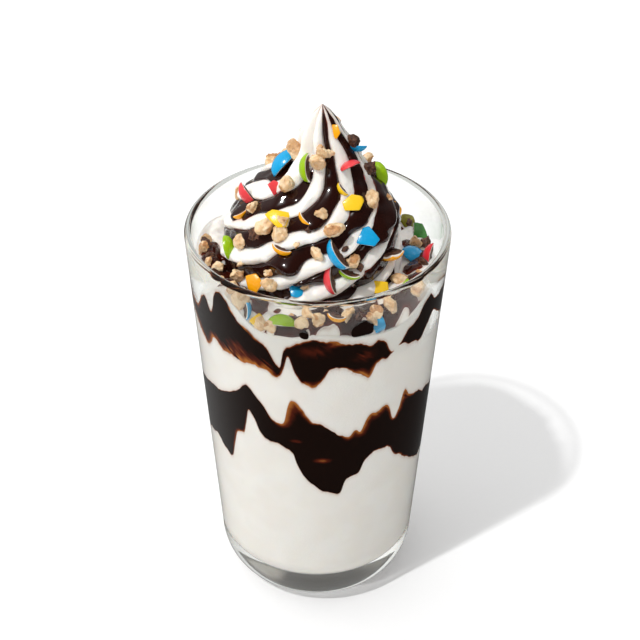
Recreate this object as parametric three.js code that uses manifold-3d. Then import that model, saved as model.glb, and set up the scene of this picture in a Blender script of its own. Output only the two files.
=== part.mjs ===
// A soft-serve ice cream dessert in a pint tumbler: two fillings of white ice cream with dark
// chocolate sauce between and above them, and a fluted swirl strewn with chopped peanuts and
// broken sugar-coated chocolates.
//
// Millimetres, +Z up, origin at the middle of the glass's underside. Angles are in degrees, counted
// from the front, which is -Y, towards +X. Every piece is round, so each is a LatheGeometry whose
// rings are then moved to the radius and height that the food has there.

import * as THREE from "three";
import { mergeVertices } from "three/addons/utils/BufferGeometryUtils.js";
import Module from "manifold-3d";

// ---------------------------------------------------------------- driving dimensions

const GLASS_HEIGHT = 150;
const RIM_RADIUS = 45;
const WALL = 2.6;
const FOOT_RADIUS = 25;
const SHOULDER_RADIUS = 36.8;
const SHOULDER_HEIGHT = 16;
const FLOOR_THICKNESS = 14;
const INNER_CORNER = 9;
const GAP = 0.3;
const CLEAR = { color: 0xe8eeec, roughness: 0.05, transparent: true, opacity: 0.3 };
const MILK_WHITE = { color: 0xf4f1ea, roughness: 0.55 };
const CHOCOLATE = { color: 0x2a1209, roughness: 0.2 };

const GLASS_SIDES = 48;
const FOOD_SIDES = 60;
const CORNER_STEPS = 3;
const LIP_STEPS = 4;
// The rings of a face of a layer, as shares of the way from the axis to the glass.
const SHARES = [0, 0.6, 0.86, 1];
const FACE_BEND = 3;
const CUT_PAST_WALL = 4 * GAP;
const MERGE_DISTANCE = 0.001;

// The lower sauce where it meets the glass: [angle, height] of its upper and its lower edge.
const LOWER_SAUCE_TOP = [
  [-80, 93], [-66, 96], [-47, 100], [-36, 107], [-31, 106], [-21, 96], [-16, 96], [-12, 106],
  [-5, 100], [3, 96], [15, 89], [23, 94], [30, 98], [37, 98], [41, 92], [46, 102], [56, 96],
  [80, 90], [115, 93], [130, 100], [160, 90], [175, 86], [205, 98], [220, 101], [250, 89],
];
const LOWER_SAUCE_BOTTOM = [
  [-80, 68], [-63, 72], [-51, 68], [-46, 80], [-40, 88], [-34, 97], [-29, 88], [-20, 84],
  [-12, 80], [-6, 71], [3, 63], [12, 61], [17, 68], [25, 75], [34, 78], [41, 76], [51, 68],
  [61, 62], [75, 57], [100, 64], [130, 76], [160, 66], [175, 62], [205, 76], [220, 78], [250, 65],
];
const LOWER_SAUCE_CENTRE = { top: 90, bottom: 80 };

// The upper sauce, and how near it comes to the glass there: at 1 or more it lies against it.
const UPPER_SAUCE_TOP = [
  [-88, 133], [-69, 129], [-57, 132], [-47, 143], [-42, 142], [-30, 132], [-16, 122],
  [-10, 132], [0, 134], [19, 131], [30, 130], [39, 124], [46, 131], [58, 138], [75, 134],
  [95, 130], [115, 125], [140, 132], [160, 136], [185, 130], [205, 125], [230, 134], [250, 137],
];
const UPPER_SAUCE_BOTTOM = [
  [-88, 126], [-71, 119], [-61, 115], [-55, 120], [-30, 119], [-17, 117], [-13, 122],
  [-8, 116], [-1, 114], [6, 121], [14, 120], [23, 116], [29, 121], [39, 122], [54, 122],
  [64, 129], [80, 121], [95, 124], [115, 122], [140, 120], [160, 124], [185, 118], [205, 121],
  [230, 119], [250, 124],
];
const UPPER_SAUCE_REACH = [
  [-89, 0.9], [-80, 1.03], [34, 1.03], [39, 0.93], [44, 1.03], [98, 1.03], [113, 0.86],
  [130, 1.03], [190, 1.03], [206, 0.86], [222, 1.03], [255, 1.03],
];
const UPPER_SAUCE_CENTRE = { top: 127, bottom: 124 };

// The top of the filling: [angle, height] of its edge at the glass, from where a lumpy ring rises
// towards the swirl in slow waves, each [count, turn, share].
const FILL_LINE = [
  [-80, 138], [-66, 136], [-54, 141], [-47, 145], [-38, 141], [-28, 135], [-12, 134], [0, 136],
  [20, 134], [35, 133], [48, 136], [58, 141], [75, 137], [100, 133], [130, 135], [160, 139],
  [185, 134], [205, 131], [230, 137], [250, 140],
];
const RING_EDGE = 41.2;
const RING_RADII = [39.5, 37.5, 34.5, 30, 0];
const RING_DISH = 6;
const RING_RISE = 6.5;
const RING_RISE_BEHIND = 1;
const RING_SLOPE_WIDTH = 5;
const RING_LUMP = 1.2;
const RING_WAVES = [[5, -50, 1], [8, -60, 0.6]];
const SOCKET_HEIGHT = 136;

// The swirl: [height, radius] of its ridges and [height, sideways lean] of its middle.
const SWIRL_BASE = SOCKET_HEIGHT + GAP;
const SWIRL_PEAK = 196;
const SWIRL_OUTLINE = [
  [136, 31], [143, 31], [150, 29.8], [157, 27.2], [165, 22.2], [171, 16.4], [178, 10.4],
  [187, 5.8], [193, 2.6], [196, 0],
];
const SWIRL_LEAN = [[136, -2], [153, -2], [165, 0], [171, 1.2], [180, 3.5], [187, 2.5], [196, 1.3]];
const SWIRL_ROWS = 20;
const RIDGES = 8;
const RIDGE_SIDES = 7;
const RIDGE_ANGLE = 30;
const TWIST_TOP = 173;
const TWIST_PER_MM = 4.2;
const TWIST_EASE = 4;
const VALLEY_DEPTH = 5;
const VALLEY_SHARE = 0.34;
// Where the ridges wander to one side of their even spiral: [angle, height, how many degrees].
const RIDGE_WANDER = [
  [-95, 166, -14], [-62, 170, 8], [-35, 172, 18], [-45, 164, -2], [8, 172, 8], [10, 165, 6],
  [30, 182, -4], [45, 181, 14], [28, 163, 12], [50, 171, 8], [60, 176, 14], [66, 169, 0],
  [95, 166, 16], [-20, 158, -6], [-40, 149, 6], [75, 153, 14], [60, 146, 8], [-70, 155, -4],
];
const WANDER_ANGLE = 16;
const WANDER_HEIGHT = 5;
const WANDER_REST = 0.35;

// Chopped peanuts and pieces of sugar-coated chocolate.
// Each pair of numbers is the least and the most of a random draw.
const NUT_SIZE = 5.2;
const NUT_SPREAD = [0.85, 1.15];
const NUT_WIDTH = [0.7, 0.95];
const NUT_DEPTH = [0.6, 0.8];
const NUT_CORNER = [0.7, 1.12];
const NUT_LEAN = [0.3, 1.1];
const RING_NUT_LEAN = [1, 2];
const CANDY_THICKNESS = 2.6;
const CANDY_CORNERS = 5;
const CHIP_REACH = [0.72, 1];
const CANDY_LEAN = [0.3, 0.9];
const RING_CANDY_LEAN = [1, 1];
const RANDOM_SEED = 2024;
const RANDOM_STEP = 16807;
const RANDOM_RANGE = 2147483647;
// How far out of the food a topping's middle lies, as a share of its thickness.
const NUT_LIFT = 0.22;
const RING_NUT_LIFT = 0.14;
const CANDY_LIFT = 0.28;
const RING_CANDY_LIFT = 0.14;
// Behind the swirl: only places at less than this angle are mirrored there, every third is left
// out, and each is moved up or down by a wave that runs on by an angle from one to the next.
const BACK_LIMIT = 78;
const BACK_SKIP = 3;
const BACK_RISE = 2;
const BACK_WAVE = 100;

// Nuts on the swirl: [angle, height].
const SWIRL_NUTS = [
  [-72, 181], [-5, 180], [17, 183], [60, 167], [79, 164], [-48, 172], [-65, 163], [-29, 165],
  [3, 167], [13, 163], [-44, 162], [-57, 154], [-29, 161], [1, 156], [24, 153], [-30, 149],
  [-9, 147], [55, 147],
];
// Nuts on the ring: [angle, radius].
const RING_NUTS = [
  [-98, 37.5], [-88, 36], [-74, 36.5], [-54, 36], [-42, 37.5], [-35, 36.5], [-27, 38],
  [-20, 38.2], [-7, 38.2], [-1, 37], [17, 37], [25, 38], [37, 38], [50, 37], [95, 36.5],
  [120, 37], [142, 36], [206, 37], [228, 36],
];
// Candy on the swirl: [angle, height, shape, length, turn in its own plane].
const SWIRL_CANDY = [
  [-78, 175, "half", 8, 50], [-31, 177, "half", 8.5, 95], [50, 188, "chip", 4, 20],
  [96, 181, "half", 6, 190], [52, 178, "half", 7, 20], [60, 173, "chip", 5.5, 10],
  [100, 169, "chip", 7, 90], [92, 160, "chip", 6, 60], [-86, 164, "half", 7.5, 70],
  [-62, 170, "chip", 3.5, 40], [-71, 160, "half", 5.5, 30], [-33, 165, "chip", 7, 80],
  [-9, 165, "half", 7.5, 140], [29, 172, "half", 5.5, 150], [34, 169, "chip", 6.5, 15],
  [-68, 149, "half", 7, 60], [-25, 157, "half", 6, 155], [39, 158, "chip", 7, 70],
  [11, 155, "half", 9, 120], [60, 149, "half", 8, 5], [7, 148, "half", 9, 100],
  [20, 150, "half", 7.5, 160], [-40, 144, "chip", 6, 80], [100, 152, "chip", 7, 30],
];
// Candy on the ring: [angle, radius, shape, length, turn].
const RING_CANDY = [
  [-14, 38, "half", 8, 5], [-32, 38.5, "half", 5, 80], [-23, 36, "chip", 5.5, 70],
  [9, 38, "half", 6, 10], [31, 38.3, "chip", 5, 30], [42, 36, "chip", 5.5, 10],
  [68, 36.5, "half", 7.5, 20], [82, 37, "half", 7, 70], [130, 37, "half", 7, 40],
  [240, 37, "half", 7, 100],
];

// ---------------------------------------------------------------- helpers

const wasm = await Module();
wasm.setup();

const radians = THREE.MathUtils.degToRad;

// A smooth curve through [place, value] knots: a cubic between each two, whose slope at a knot is
// that of the line joining its neighbours.
function curveThrough(knots) {
  const slopeAt = (i) => {
    const before = knots[Math.max(i - 1, 0)];
    const after = knots[Math.min(i + 1, knots.length - 1)];
    return (after[1] - before[1]) / (after[0] - before[0]);
  };
  return (place) => {
    let i = 0;
    while (i < knots.length - 2 && place > knots[i + 1][0]) i += 1;
    const [start, low] = knots[i];
    const [end, high] = knots[i + 1];
    const span = end - start;
    const t = THREE.MathUtils.clamp((place - start) / span, 0, 1);
    const rise = low + (high - low) * t * t * (3 - 2 * t);
    const tangents = slopeAt(i) * (1 - t) - slopeAt(i + 1) * t;
    return rise + tangents * span * t * (1 - t);
  };
}

// The same round the glass, where the last knot leads back to the first.
function loopThrough(knots) {
  const turned = (by) => knots.map(([angle, value]) => [angle + by, value]);
  const curve = curveThrough([...turned(-360), ...knots, ...turned(360)]);
  const start = knots[0][0];
  return (angle) => curve(start + THREE.MathUtils.euclideanModulo(angle - start, 360));
}

// A closed round solid. pointAt(angle, row) gives [radius, height, sideways, turn]; rows run from
// the bottom of the axis, outwards and up, to the top of the axis.
function roundSolid(rows, sides, pointAt) {
  const profile = Array.from({ length: rows }, (_, row) => new THREE.Vector2(row, row));
  const geometry = new THREE.LatheGeometry(profile, sides);
  const position = geometry.attributes.position;
  for (let side = 0; side <= sides; side += 1) {
    const angle = (360 * (side % sides)) / sides;
    for (let row = 0; row < rows; row += 1) {
      const [radius, height, sideways = 0, turn = 0] = pointAt(angle, row);
      const turned = radians(angle + turn);
      const x = sideways + radius * Math.sin(turned);
      position.setXYZ(side * rows + row, x, -radius * Math.cos(turned), height);
    }
  }
  return toSolid(geometry);
}

// A geometry as a solid that can be cut and joined, with its faces turned out.
function toSolid(geometry) {
  const bare = new THREE.BufferGeometry();
  bare.setAttribute("position", geometry.attributes.position);
  if (geometry.index) bare.setIndex(geometry.index);
  const merged = mergeVertices(bare, MERGE_DISTANCE);
  const corners = merged.index.array;
  const triangles = [];
  for (let i = 0; i < corners.length; i += 3) {
    const [a, b, c] = [corners[i], corners[i + 1], corners[i + 2]];
    if (a !== b && b !== c && c !== a) triangles.push(a, b, c);
  }
  const vertProperties = Float32Array.from(merged.attributes.position.array);
  const mesh = (order) => {
    return new wasm.Mesh({ numProp: 3, vertProperties, triVerts: Uint32Array.from(order) });
  };
  const solid = new wasm.Manifold(mesh(triangles));
  return solid.volume() > 0 ? solid : new wasm.Manifold(mesh(triangles.reverse()));
}

// The main body of a solid: without loose scraps, and with the hollows filled that joining sealed.
function mainBody(solid) {
  return solid.decompose().reduce((a, b) => (b.volume() > a.volume() ? b : a));
}

// A named mesh of a solid, in its own finish.
function pieceOf(name, solid, finish) {
  const { vertProperties, triVerts } = solid.getMesh();
  const geometry = new THREE.BufferGeometry();
  geometry.setAttribute("position", new THREE.BufferAttribute(vertProperties, 3));
  geometry.setIndex(new THREE.BufferAttribute(triVerts, 1));
  geometry.computeVertexNormals();
  const material = new THREE.MeshStandardMaterial({ metalness: 0, ...finish });
  const piece = new THREE.Mesh(geometry, material);
  piece.name = name;
  return piece;
}

// ---------------------------------------------------------------- glass

const TAPER = (RIM_RADIUS - SHOULDER_RADIUS) / (GLASS_HEIGHT - SHOULDER_HEIGHT);

function outerRadius(height) {
  return SHOULDER_RADIUS + TAPER * (height - SHOULDER_HEIGHT);
}

function innerRadius(height) {
  return outerRadius(height) - WALL;
}

// A quarter of an ellipse from a flat floor up into a wall.
function cornerPoints(floorRadius, floorHeight, wallRadius, wallHeight) {
  return Array.from({ length: CORNER_STEPS + 1 }, (_, step) => {
    const turn = radians((90 * step) / CORNER_STEPS);
    const radius = floorRadius + (wallRadius - floorRadius) * Math.sin(turn);
    return [radius, wallHeight - (wallHeight - floorHeight) * Math.cos(turn)];
  });
}

// The inside of the glass, or the food's side and bottom when it is drawn in by a gap.
function insideProfile(gap) {
  const floor = FLOOR_THICKNESS + gap;
  const wallStart = FLOOR_THICKNESS + INNER_CORNER;
  const wallRadius = innerRadius(wallStart) - gap;
  return cornerPoints(wallRadius - INNER_CORNER, floor, wallRadius, wallStart);
}

function makeGlass() {
  const lip = WALL / 2;
  const lipHeight = GLASS_HEIGHT - lip;
  const lipPoints = Array.from({ length: LIP_STEPS + 1 }, (_, step) => {
    const turn = radians((180 * step) / LIP_STEPS);
    return [RIM_RADIUS - lip + lip * Math.cos(turn), lipHeight + lip * Math.sin(turn)];
  });
  const profile = [
    [0, 0],
    ...cornerPoints(FOOT_RADIUS, 0, SHOULDER_RADIUS, SHOULDER_HEIGHT),
    ...lipPoints,
    ...insideProfile(0).reverse(),
    [0, FLOOR_THICKNESS],
  ];
  return roundSolid(profile.length, GLASS_SIDES, (angle, row) => profile[row]);
}

// ---------------------------------------------------------------- fillings and sauce

// The height of a sauce face at a share of the way from the axis to the glass: it leaves the
// middle level and bends to the height that its edge has at the glass.
function faceHeight(centre, edge, share) {
  return centre + (edge - centre) * share ** FACE_BEND;
}

const always = () => 1;
const lowerSauce = {
  bottom: loopThrough(LOWER_SAUCE_BOTTOM),
  top: loopThrough(LOWER_SAUCE_TOP),
  centre: LOWER_SAUCE_CENTRE,
  reach: always,
};
const upperSauce = {
  bottom: loopThrough(UPPER_SAUCE_BOTTOM),
  top: loopThrough(UPPER_SAUCE_TOP),
  centre: UPPER_SAUCE_CENTRE,
  reach: loopThrough(UPPER_SAUCE_REACH),
};
// All that is above the lower sauce's underside, and all that is below its upper side.
const aboveLowerSauce = {
  ...lowerSauce,
  top: () => GLASS_HEIGHT,
  centre: { ...LOWER_SAUCE_CENTRE, top: GLASS_HEIGHT },
};
const belowLowerSauce = {
  ...lowerSauce,
  bottom: () => 0,
  centre: { ...LOWER_SAUCE_CENTRE, bottom: 0 },
};

// A layer: rings out along its lower face, then back along its upper one. grow makes it thicker and
// gives it one more ring outside, to cut the ice cream with.
function layerSolid(layer, grow) {
  const rings = SHARES.length + 1;
  const rows = 2 * rings;
  return roundSolid(rows, FOOD_SIDES, (angle, row) => {
    const onTop = row >= rings;
    const ring = onTop ? rows - 1 - row : row;
    const share = SHARES[Math.min(ring, SHARES.length - 1)];
    const edge = (onTop ? layer.top : layer.bottom)(angle);
    const level = onTop ? layer.centre.top : layer.centre.bottom;
    const height = faceHeight(level, edge, share) + (onTop ? grow : -grow);
    const reach = layer.reach(angle);
    const past = grow > 0 && reach >= 1 ? CUT_PAST_WALL : grow;
    const outside = ring < SHARES.length ? 0 : past;
    return [share * Math.min(reach, 1) * (innerRadius(height) - GAP) + outside, height];
  });
}

const fillLine = loopThrough(FILL_LINE);

// The height of the lumpy ring round the swirl, which rises steeply from the glass and is level
// inside.
function ringHeight(angle, radius) {
  const inwards = THREE.MathUtils.clamp((RING_EDGE - radius) / RING_SLOPE_WIDTH, 0, 1);
  const slope = Math.sin((Math.PI / 2) * inwards);
  const waves = RING_WAVES.map(([count, turn, share]) => share * Math.cos(radians(count * angle + turn)));
  const lumps = waves.reduce((sum, wave) => sum + wave);
  const levelled = Math.min(radius / RING_EDGE, 1) ** RING_DISH;
  const edge = SOCKET_HEIGHT + (fillLine(angle) - SOCKET_HEIGHT) * levelled;
  const front = (1 + Math.cos(radians(angle))) / 2;
  const rise = RING_RISE_BEHIND + (RING_RISE - RING_RISE_BEHIND) * Math.sqrt(front);
  return edge + slope * (rise + RING_LUMP * lumps) * levelled;
}

// All the food below the swirl, sauce included.
function makeFilling() {
  const side = insideProfile(GAP);
  const edgeRow = side.length + 1;
  return roundSolid(edgeRow + 1 + RING_RADII.length, FOOD_SIDES, (angle, row) => {
    if (row === 0) return [0, side[0][1]];
    if (row < edgeRow) return side[row - 1];
    const wall = innerRadius(fillLine(angle)) - GAP;
    const radius = row === edgeRow ? wall : RING_RADII[row - edgeRow - 1];
    return [radius, ringHeight(angle, radius)];
  });
}

// The space inside the glass, which toppings near the wall are cut to.
function makeInside() {
  const top = GLASS_HEIGHT + WALL;
  const side = insideProfile(GAP);
  const outline = [[0, side[0][1]], ...side, [innerRadius(top) - GAP, top], [0, top]];
  return roundSolid(outline.length, FOOD_SIDES, (angle, row) => outline[row]);
}

// The round hole in the ring that the swirl stands in.
function makeSocket() {
  const radius = SWIRL_OUTLINE[0][1] + GAP;
  const outline = [[0, SOCKET_HEIGHT], [radius, SOCKET_HEIGHT], [radius, SWIRL_PEAK], [0, SWIRL_PEAK]];
  const lean = SWIRL_LEAN[0][1];
  return roundSolid(outline.length, FOOD_SIDES, (angle, row) => [...outline[row], lean]);
}

// ---------------------------------------------------------------- swirl

const swirlOutline = curveThrough(SWIRL_OUTLINE);
const swirlLean = curveThrough(SWIRL_LEAN);

// How far the ridges have turned round at a height: they run straight up near the peak and twist
// evenly below it.
function twistAt(height) {
  const drop = Math.max(TWIST_TOP - height, 0);
  return -TWIST_PER_MM * (drop - TWIST_EASE * (1 - Math.exp(-drop / TWIST_EASE)));
}

// How far the ridges wander there: the mean of the places listed, each counting less with distance.
function wanderAt(angle, height) {
  let weights = WANDER_REST;
  let shifts = 0;
  for (const [placeAngle, placeHeight, shift] of RIDGE_WANDER) {
    const round = THREE.MathUtils.euclideanModulo(angle - placeAngle + 180, 360) - 180;
    const distance = Math.hypot(round / WANDER_ANGLE, (height - placeHeight) / WANDER_HEIGHT);
    const weight = Math.exp(-(distance ** 2));
    weights += weight;
    shifts += weight * shift;
  }
  return shifts / weights;
}

// The swirl's radius. Its ridges are broad and round, with narrow valleys between them.
function swirlRadius(angle, height) {
  const ridge = swirlOutline(height);
  const along = angle - RIDGE_ANGLE - twistAt(height) - wanderAt(angle, height);
  const wave = Math.cos(radians(RIDGES * along));
  const valley = 1 - Math.sqrt((1 + wave) / 2);
  return ridge - Math.min(VALLEY_DEPTH, VALLEY_SHARE * ridge) * valley;
}

function swirlPoint(angle, height) {
  const radius = swirlRadius(angle, height);
  const x = swirlLean(height) + radius * Math.sin(radians(angle));
  return new THREE.Vector3(x, -radius * Math.cos(radians(angle)), height);
}

// The swirl without its toppings: its columns follow the ridges round.
function makeSwirlCore() {
  const rows = SWIRL_ROWS + 2;
  return roundSolid(rows, RIDGES * RIDGE_SIDES, (angle, row) => {
    const height = SWIRL_BASE + ((SWIRL_PEAK - SWIRL_BASE) * Math.max(row - 1, 0)) / SWIRL_ROWS;
    const turn = RIDGE_ANGLE + twistAt(height);
    const onAxis = row === 0 || row === rows - 1;
    return [onAxis ? 0 : swirlRadius(angle + turn, height), height, swirlLean(height), turn];
  });
}

// ---------------------------------------------------------------- toppings

let randomState = RANDOM_SEED;

function draw(low, high) {
  randomState = (randomState * RANDOM_STEP) % RANDOM_RANGE;
  return low + ((high - low) * randomState) / RANDOM_RANGE;
}

// A chopped peanut: a block with its corners pulled about.
function makeNut() {
  const size = NUT_SIZE * draw(...NUT_SPREAD);
  const block = new THREE.BoxGeometry(size, size * draw(...NUT_WIDTH), size * draw(...NUT_DEPTH));
  const nut = mergeVertices(block.deleteAttribute("normal").deleteAttribute("uv"));
  const position = nut.attributes.position;
  for (let i = 0; i < position.count; i += 1) {
    const pull = draw(...NUT_CORNER);
    const pullAcross = draw(...NUT_CORNER);
    position.setXYZ(i, position.getX(i) * pull, position.getY(i) * pullAcross, position.getZ(i) * pull);
  }
  return nut;
}

// A piece of a lens-shaped candy: half of one, with the break along its straight side, or a chip
// of uneven corners.
function makeCandy(shape, length) {
  const half = length / 2;
  const isHalf = shape === "half";
  const corners = Array.from({ length: CANDY_CORNERS }, (_, i) => {
    const turn = isHalf ? (Math.PI * i) / (CANDY_CORNERS - 1) : (2 * Math.PI * i) / CANDY_CORNERS;
    const reach = isHalf ? half : half * draw(...CHIP_REACH);
    return new THREE.Vector2(reach * Math.cos(turn), reach * Math.sin(turn));
  });
  const settings = { depth: CANDY_THICKNESS, bevelEnabled: false };
  const candy = new THREE.ExtrudeGeometry(new THREE.Shape(corners), settings);
  return candy.translate(0, isHalf ? -half / 2 : 0, -CANDY_THICKNESS / 2);
}

// The outward direction at an angle, leaning up by a share.
function outwardAt(angle, upward) {
  return new THREE.Vector3(Math.sin(radians(angle)), -Math.cos(radians(angle)), upward).normalize();
}

// Lays a topping on the food at a point: its face is turned outwards, it is spun in its own plane,
// and its middle is lifted out of the food.
function lay(geometry, point, outward, turn, lift) {
  const facing = new THREE.Quaternion().setFromUnitVectors(new THREE.Vector3(0, 0, 1), outward);
  const spin = new THREE.Quaternion().setFromAxisAngle(new THREE.Vector3(0, 0, 1), radians(turn));
  const middle = point.clone().addScaledVector(outward, lift);
  const place = new THREE.Matrix4().compose(middle, facing.multiply(spin), new THREE.Vector3(1, 1, 1));
  return toSolid(geometry.applyMatrix4(place));
}

function layNut(point, angle, lean, lift) {
  const nut = makeNut();
  const outward = outwardAt(angle, draw(...lean));
  return lay(nut, point, outward, draw(0, 360), lift * NUT_SIZE);
}

function layCandy(point, angle, lean, lift, shape, length, turn) {
  const candy = makeCandy(shape, length);
  const outward = outwardAt(angle, draw(...lean));
  return lay(candy, point, outward, turn, lift * CANDY_THICKNESS);
}

// The places behind the swirl: most of those in front, mirrored from front to back.
function behind(places) {
  const mirrored = places.filter(([angle], i) => Math.abs(angle) < BACK_LIMIT && i % BACK_SKIP > 0);
  return mirrored.map(([angle, height, ...kind], i) => {
    const rise = BACK_RISE * Math.cos(radians(BACK_WAVE * i));
    return [180 - angle, height + rise, ...kind];
  });
}

function makeSwirlToppings() {
  const nuts = [...SWIRL_NUTS, ...behind(SWIRL_NUTS)];
  const candy = [...SWIRL_CANDY, ...behind(SWIRL_CANDY)];
  return [
    ...nuts.map(([angle, height]) => {
      return layNut(swirlPoint(angle, height), angle, NUT_LEAN, NUT_LIFT);
    }),
    ...candy.map(([angle, height, ...kind]) => {
      return layCandy(swirlPoint(angle, height), angle, CANDY_LEAN, CANDY_LIFT, ...kind);
    }),
  ];
}

function ringPoint(angle, radius) {
  const height = ringHeight(angle, radius);
  return new THREE.Vector3(radius * Math.sin(radians(angle)), -radius * Math.cos(radians(angle)), height);
}

function makeRingToppings() {
  return [
    ...RING_NUTS.map(([angle, radius]) => {
      return layNut(ringPoint(angle, radius), angle, RING_NUT_LEAN, RING_NUT_LIFT);
    }),
    ...RING_CANDY.map(([angle, radius, ...kind]) => {
      return layCandy(ringPoint(angle, radius), angle, RING_CANDY_LEAN, RING_CANDY_LIFT, ...kind);
    }),
  ];
}

// ---------------------------------------------------------------- assembly

const swirl = mainBody(wasm.Manifold.union([makeSwirlCore(), ...makeSwirlToppings()]));
const ringToppings = wasm.Manifold.union(makeRingToppings()).intersect(makeInside());
const filling = makeFilling();
const lowerFilling = mainBody(filling.subtract(layerSolid(aboveLowerSauce, GAP)));
const upperFilling = mainBody(
  filling
    .add(ringToppings)
    .subtract(makeSocket())
    .subtract(layerSolid(belowLowerSauce, GAP))
    .subtract(layerSolid(upperSauce, GAP)),
);

const dessert = new THREE.Group();
dessert.add(
  pieceOf("glass", makeGlass(), CLEAR),
  pieceOf("lower_ice_cream", lowerFilling, MILK_WHITE),
  pieceOf("lower_sauce", layerSolid(lowerSauce, 0), CHOCOLATE),
  pieceOf("upper_ice_cream", upperFilling, MILK_WHITE),
  pieceOf("upper_sauce", layerSolid(upperSauce, 0), CHOCOLATE),
  pieceOf("swirl", swirl, MILK_WHITE),
);

export default dessert;
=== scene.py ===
# %% [markdown]
# # A soft-serve dessert in a pint tumbler
#
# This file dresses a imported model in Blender. The model holds the true solids: a tumbler, two
# fillings of ice cream, two layers of chocolate sauce and a fluted swirl. Here each of them gets
# the surface that the eye sees, and chopped peanuts and broken candy are laid on top.
#
# Shapes are worked out in millimetres, with +Z up. Angles are in degrees, counted from the front,
# which is -Y, towards +X.

import math

import bpy
import numpy as np
from mathutils import Matrix, Vector


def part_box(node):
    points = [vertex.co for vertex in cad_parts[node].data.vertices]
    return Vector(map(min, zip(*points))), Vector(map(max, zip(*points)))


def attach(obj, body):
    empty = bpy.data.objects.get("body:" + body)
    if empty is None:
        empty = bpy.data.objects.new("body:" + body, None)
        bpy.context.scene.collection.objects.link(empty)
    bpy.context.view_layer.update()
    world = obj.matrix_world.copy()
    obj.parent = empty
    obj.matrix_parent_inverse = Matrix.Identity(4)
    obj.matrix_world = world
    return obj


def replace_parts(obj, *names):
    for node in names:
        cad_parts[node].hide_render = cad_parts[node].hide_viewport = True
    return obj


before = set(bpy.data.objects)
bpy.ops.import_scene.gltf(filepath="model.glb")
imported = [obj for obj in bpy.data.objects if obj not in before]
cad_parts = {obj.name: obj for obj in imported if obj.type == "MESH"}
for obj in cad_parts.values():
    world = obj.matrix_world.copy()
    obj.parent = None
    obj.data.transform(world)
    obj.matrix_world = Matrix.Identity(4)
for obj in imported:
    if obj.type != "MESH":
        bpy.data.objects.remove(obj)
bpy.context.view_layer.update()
MM = 0.001
GLASS_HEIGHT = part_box("glass")[1].z / MM
RIM_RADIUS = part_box("glass")[1].x / MM
SWIRL_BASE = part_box("swirl")[0].z / MM
SWIRL_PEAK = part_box("swirl")[1].z / MM
# How steeply the viewer looks down.
ELEVATION = math.radians(37.33)
print(f"glass {GLASS_HEIGHT:.1f} mm high, rim radius {RIM_RADIUS:.1f} mm, peak {SWIRL_PEAK:.1f} mm")

# %% [markdown]
# ## Curves and a random field
#
# Food has few straight lines: its outlines are smooth curves through a handful of places, and its
# surfaces carry small random relief. A curve could be a Blender spline, but plain functions on
# arrays give thousands of points at once. The relief is a sum of plane waves in random
# directions: it is smooth, has one size of bump, and is the same on every run.

# %% Curves, waves and a smooth random field
def radians(degrees):
    """Degrees as radians, for whole arrays."""
    return np.asarray(degrees) * (math.pi / 180)


def curve_through(knots):
    """A smooth curve through (place, value) knots: between each two a cubic, whose slope at a knot
    is that of the line that joins its neighbours."""
    places, values = np.array(knots, float).T
    numbers = np.arange(len(places))
    before = np.maximum(numbers - 1, 0)
    after = np.minimum(numbers + 1, len(places) - 1)
    slopes = (values[after] - values[before]) / (places[after] - places[before])

    def curve(place):
        i = np.clip(np.searchsorted(places, place) - 1, 0, len(places) - 2)
        span = places[i + 1] - places[i]
        t = np.clip((place - places[i]) / span, 0, 1)
        rise = values[i] + (values[i + 1] - values[i]) * t * t * (3 - 2 * t)
        return rise + (slopes[i] * (1 - t) - slopes[i + 1] * t) * span * t * (1 - t)

    return curve


def loop_through(knots):
    """The same round the glass, where the last knot leads back to the first."""
    knots = np.array(knots, float)
    turns = [knots + (turn, 0) for turn in (-360, 0, 360)]
    curve = curve_through(np.concatenate(turns))
    start = knots[0, 0]
    return lambda angle: curve(start + (angle - start) % 360)


WAVES = 14


def wobble(points, size, seed):
    """A smooth random field, mostly between -1.5 and 1.5: the sum of plane waves about this many
    millimetres long, each in a random direction and with a random phase."""
    random = np.random.default_rng(seed)
    ways = random.normal(size=(3, WAVES))
    ways *= 2 * math.pi / size * random.uniform(0.7, 1.4, WAVES) / np.linalg.norm(ways, axis=0)
    phases = random.uniform(0, 2 * math.pi, WAVES)
    return np.cos(points @ ways + phases).sum(-1) / math.sqrt(WAVES / 2)


def smooth_step(low, high, value):
    """0 below low, 1 above high, and an even curve between them."""
    t = np.clip((value - low) / (high - low), 0, 1)
    return t * t * (3 - 2 * t)


def angle_between(a, b):
    """The shorter way round from b to a, in degrees."""
    return (a - b + 180) % 360 - 180


def around(radius, angle, height, sideways=0.0):
    """Points from a radius, an angle and a height, as an array with x, y and z last."""
    turned = radians(angle)
    parts = (sideways + radius * np.sin(turned), -radius * np.cos(turned), height)
    return np.stack(np.broadcast_arrays(*parts), -1)


# %% [markdown]
# ## From arrays to meshes
#
# Nearly everything here is round and closed, so one function makes it all. It takes a grid of
# points whose columns run anticlockwise, seen from above, and whose rows run up the outside and
# shrink to a point at both ends. It joins them with quads and closes the ends with triangles, and
# every face points out. Small pieces of one kind share a mesh, which keeps the object list short.

# %% Closed skins from grids
def skin_faces(rows, columns):
    """The faces of one closed skin: a fan at each end and quads between the rings of the grid."""
    ring = np.arange(columns)
    beside = (ring + 1) % columns
    rings = 1 + columns * np.arange(rows - 2)[:, None]
    low, high = rings[:-1], rings[1:]
    quads = np.stack([low + ring, low + beside, high + beside, high + ring], -1).reshape(-1, 4)
    top = rings[-1] + columns
    first = np.stack([np.zeros(columns, int), 1 + beside, 1 + ring], -1)
    last = np.stack([np.full(columns, top), rings[-1] + ring, rings[-1] + beside], -1)
    return quads, np.concatenate([first, last])


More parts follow.
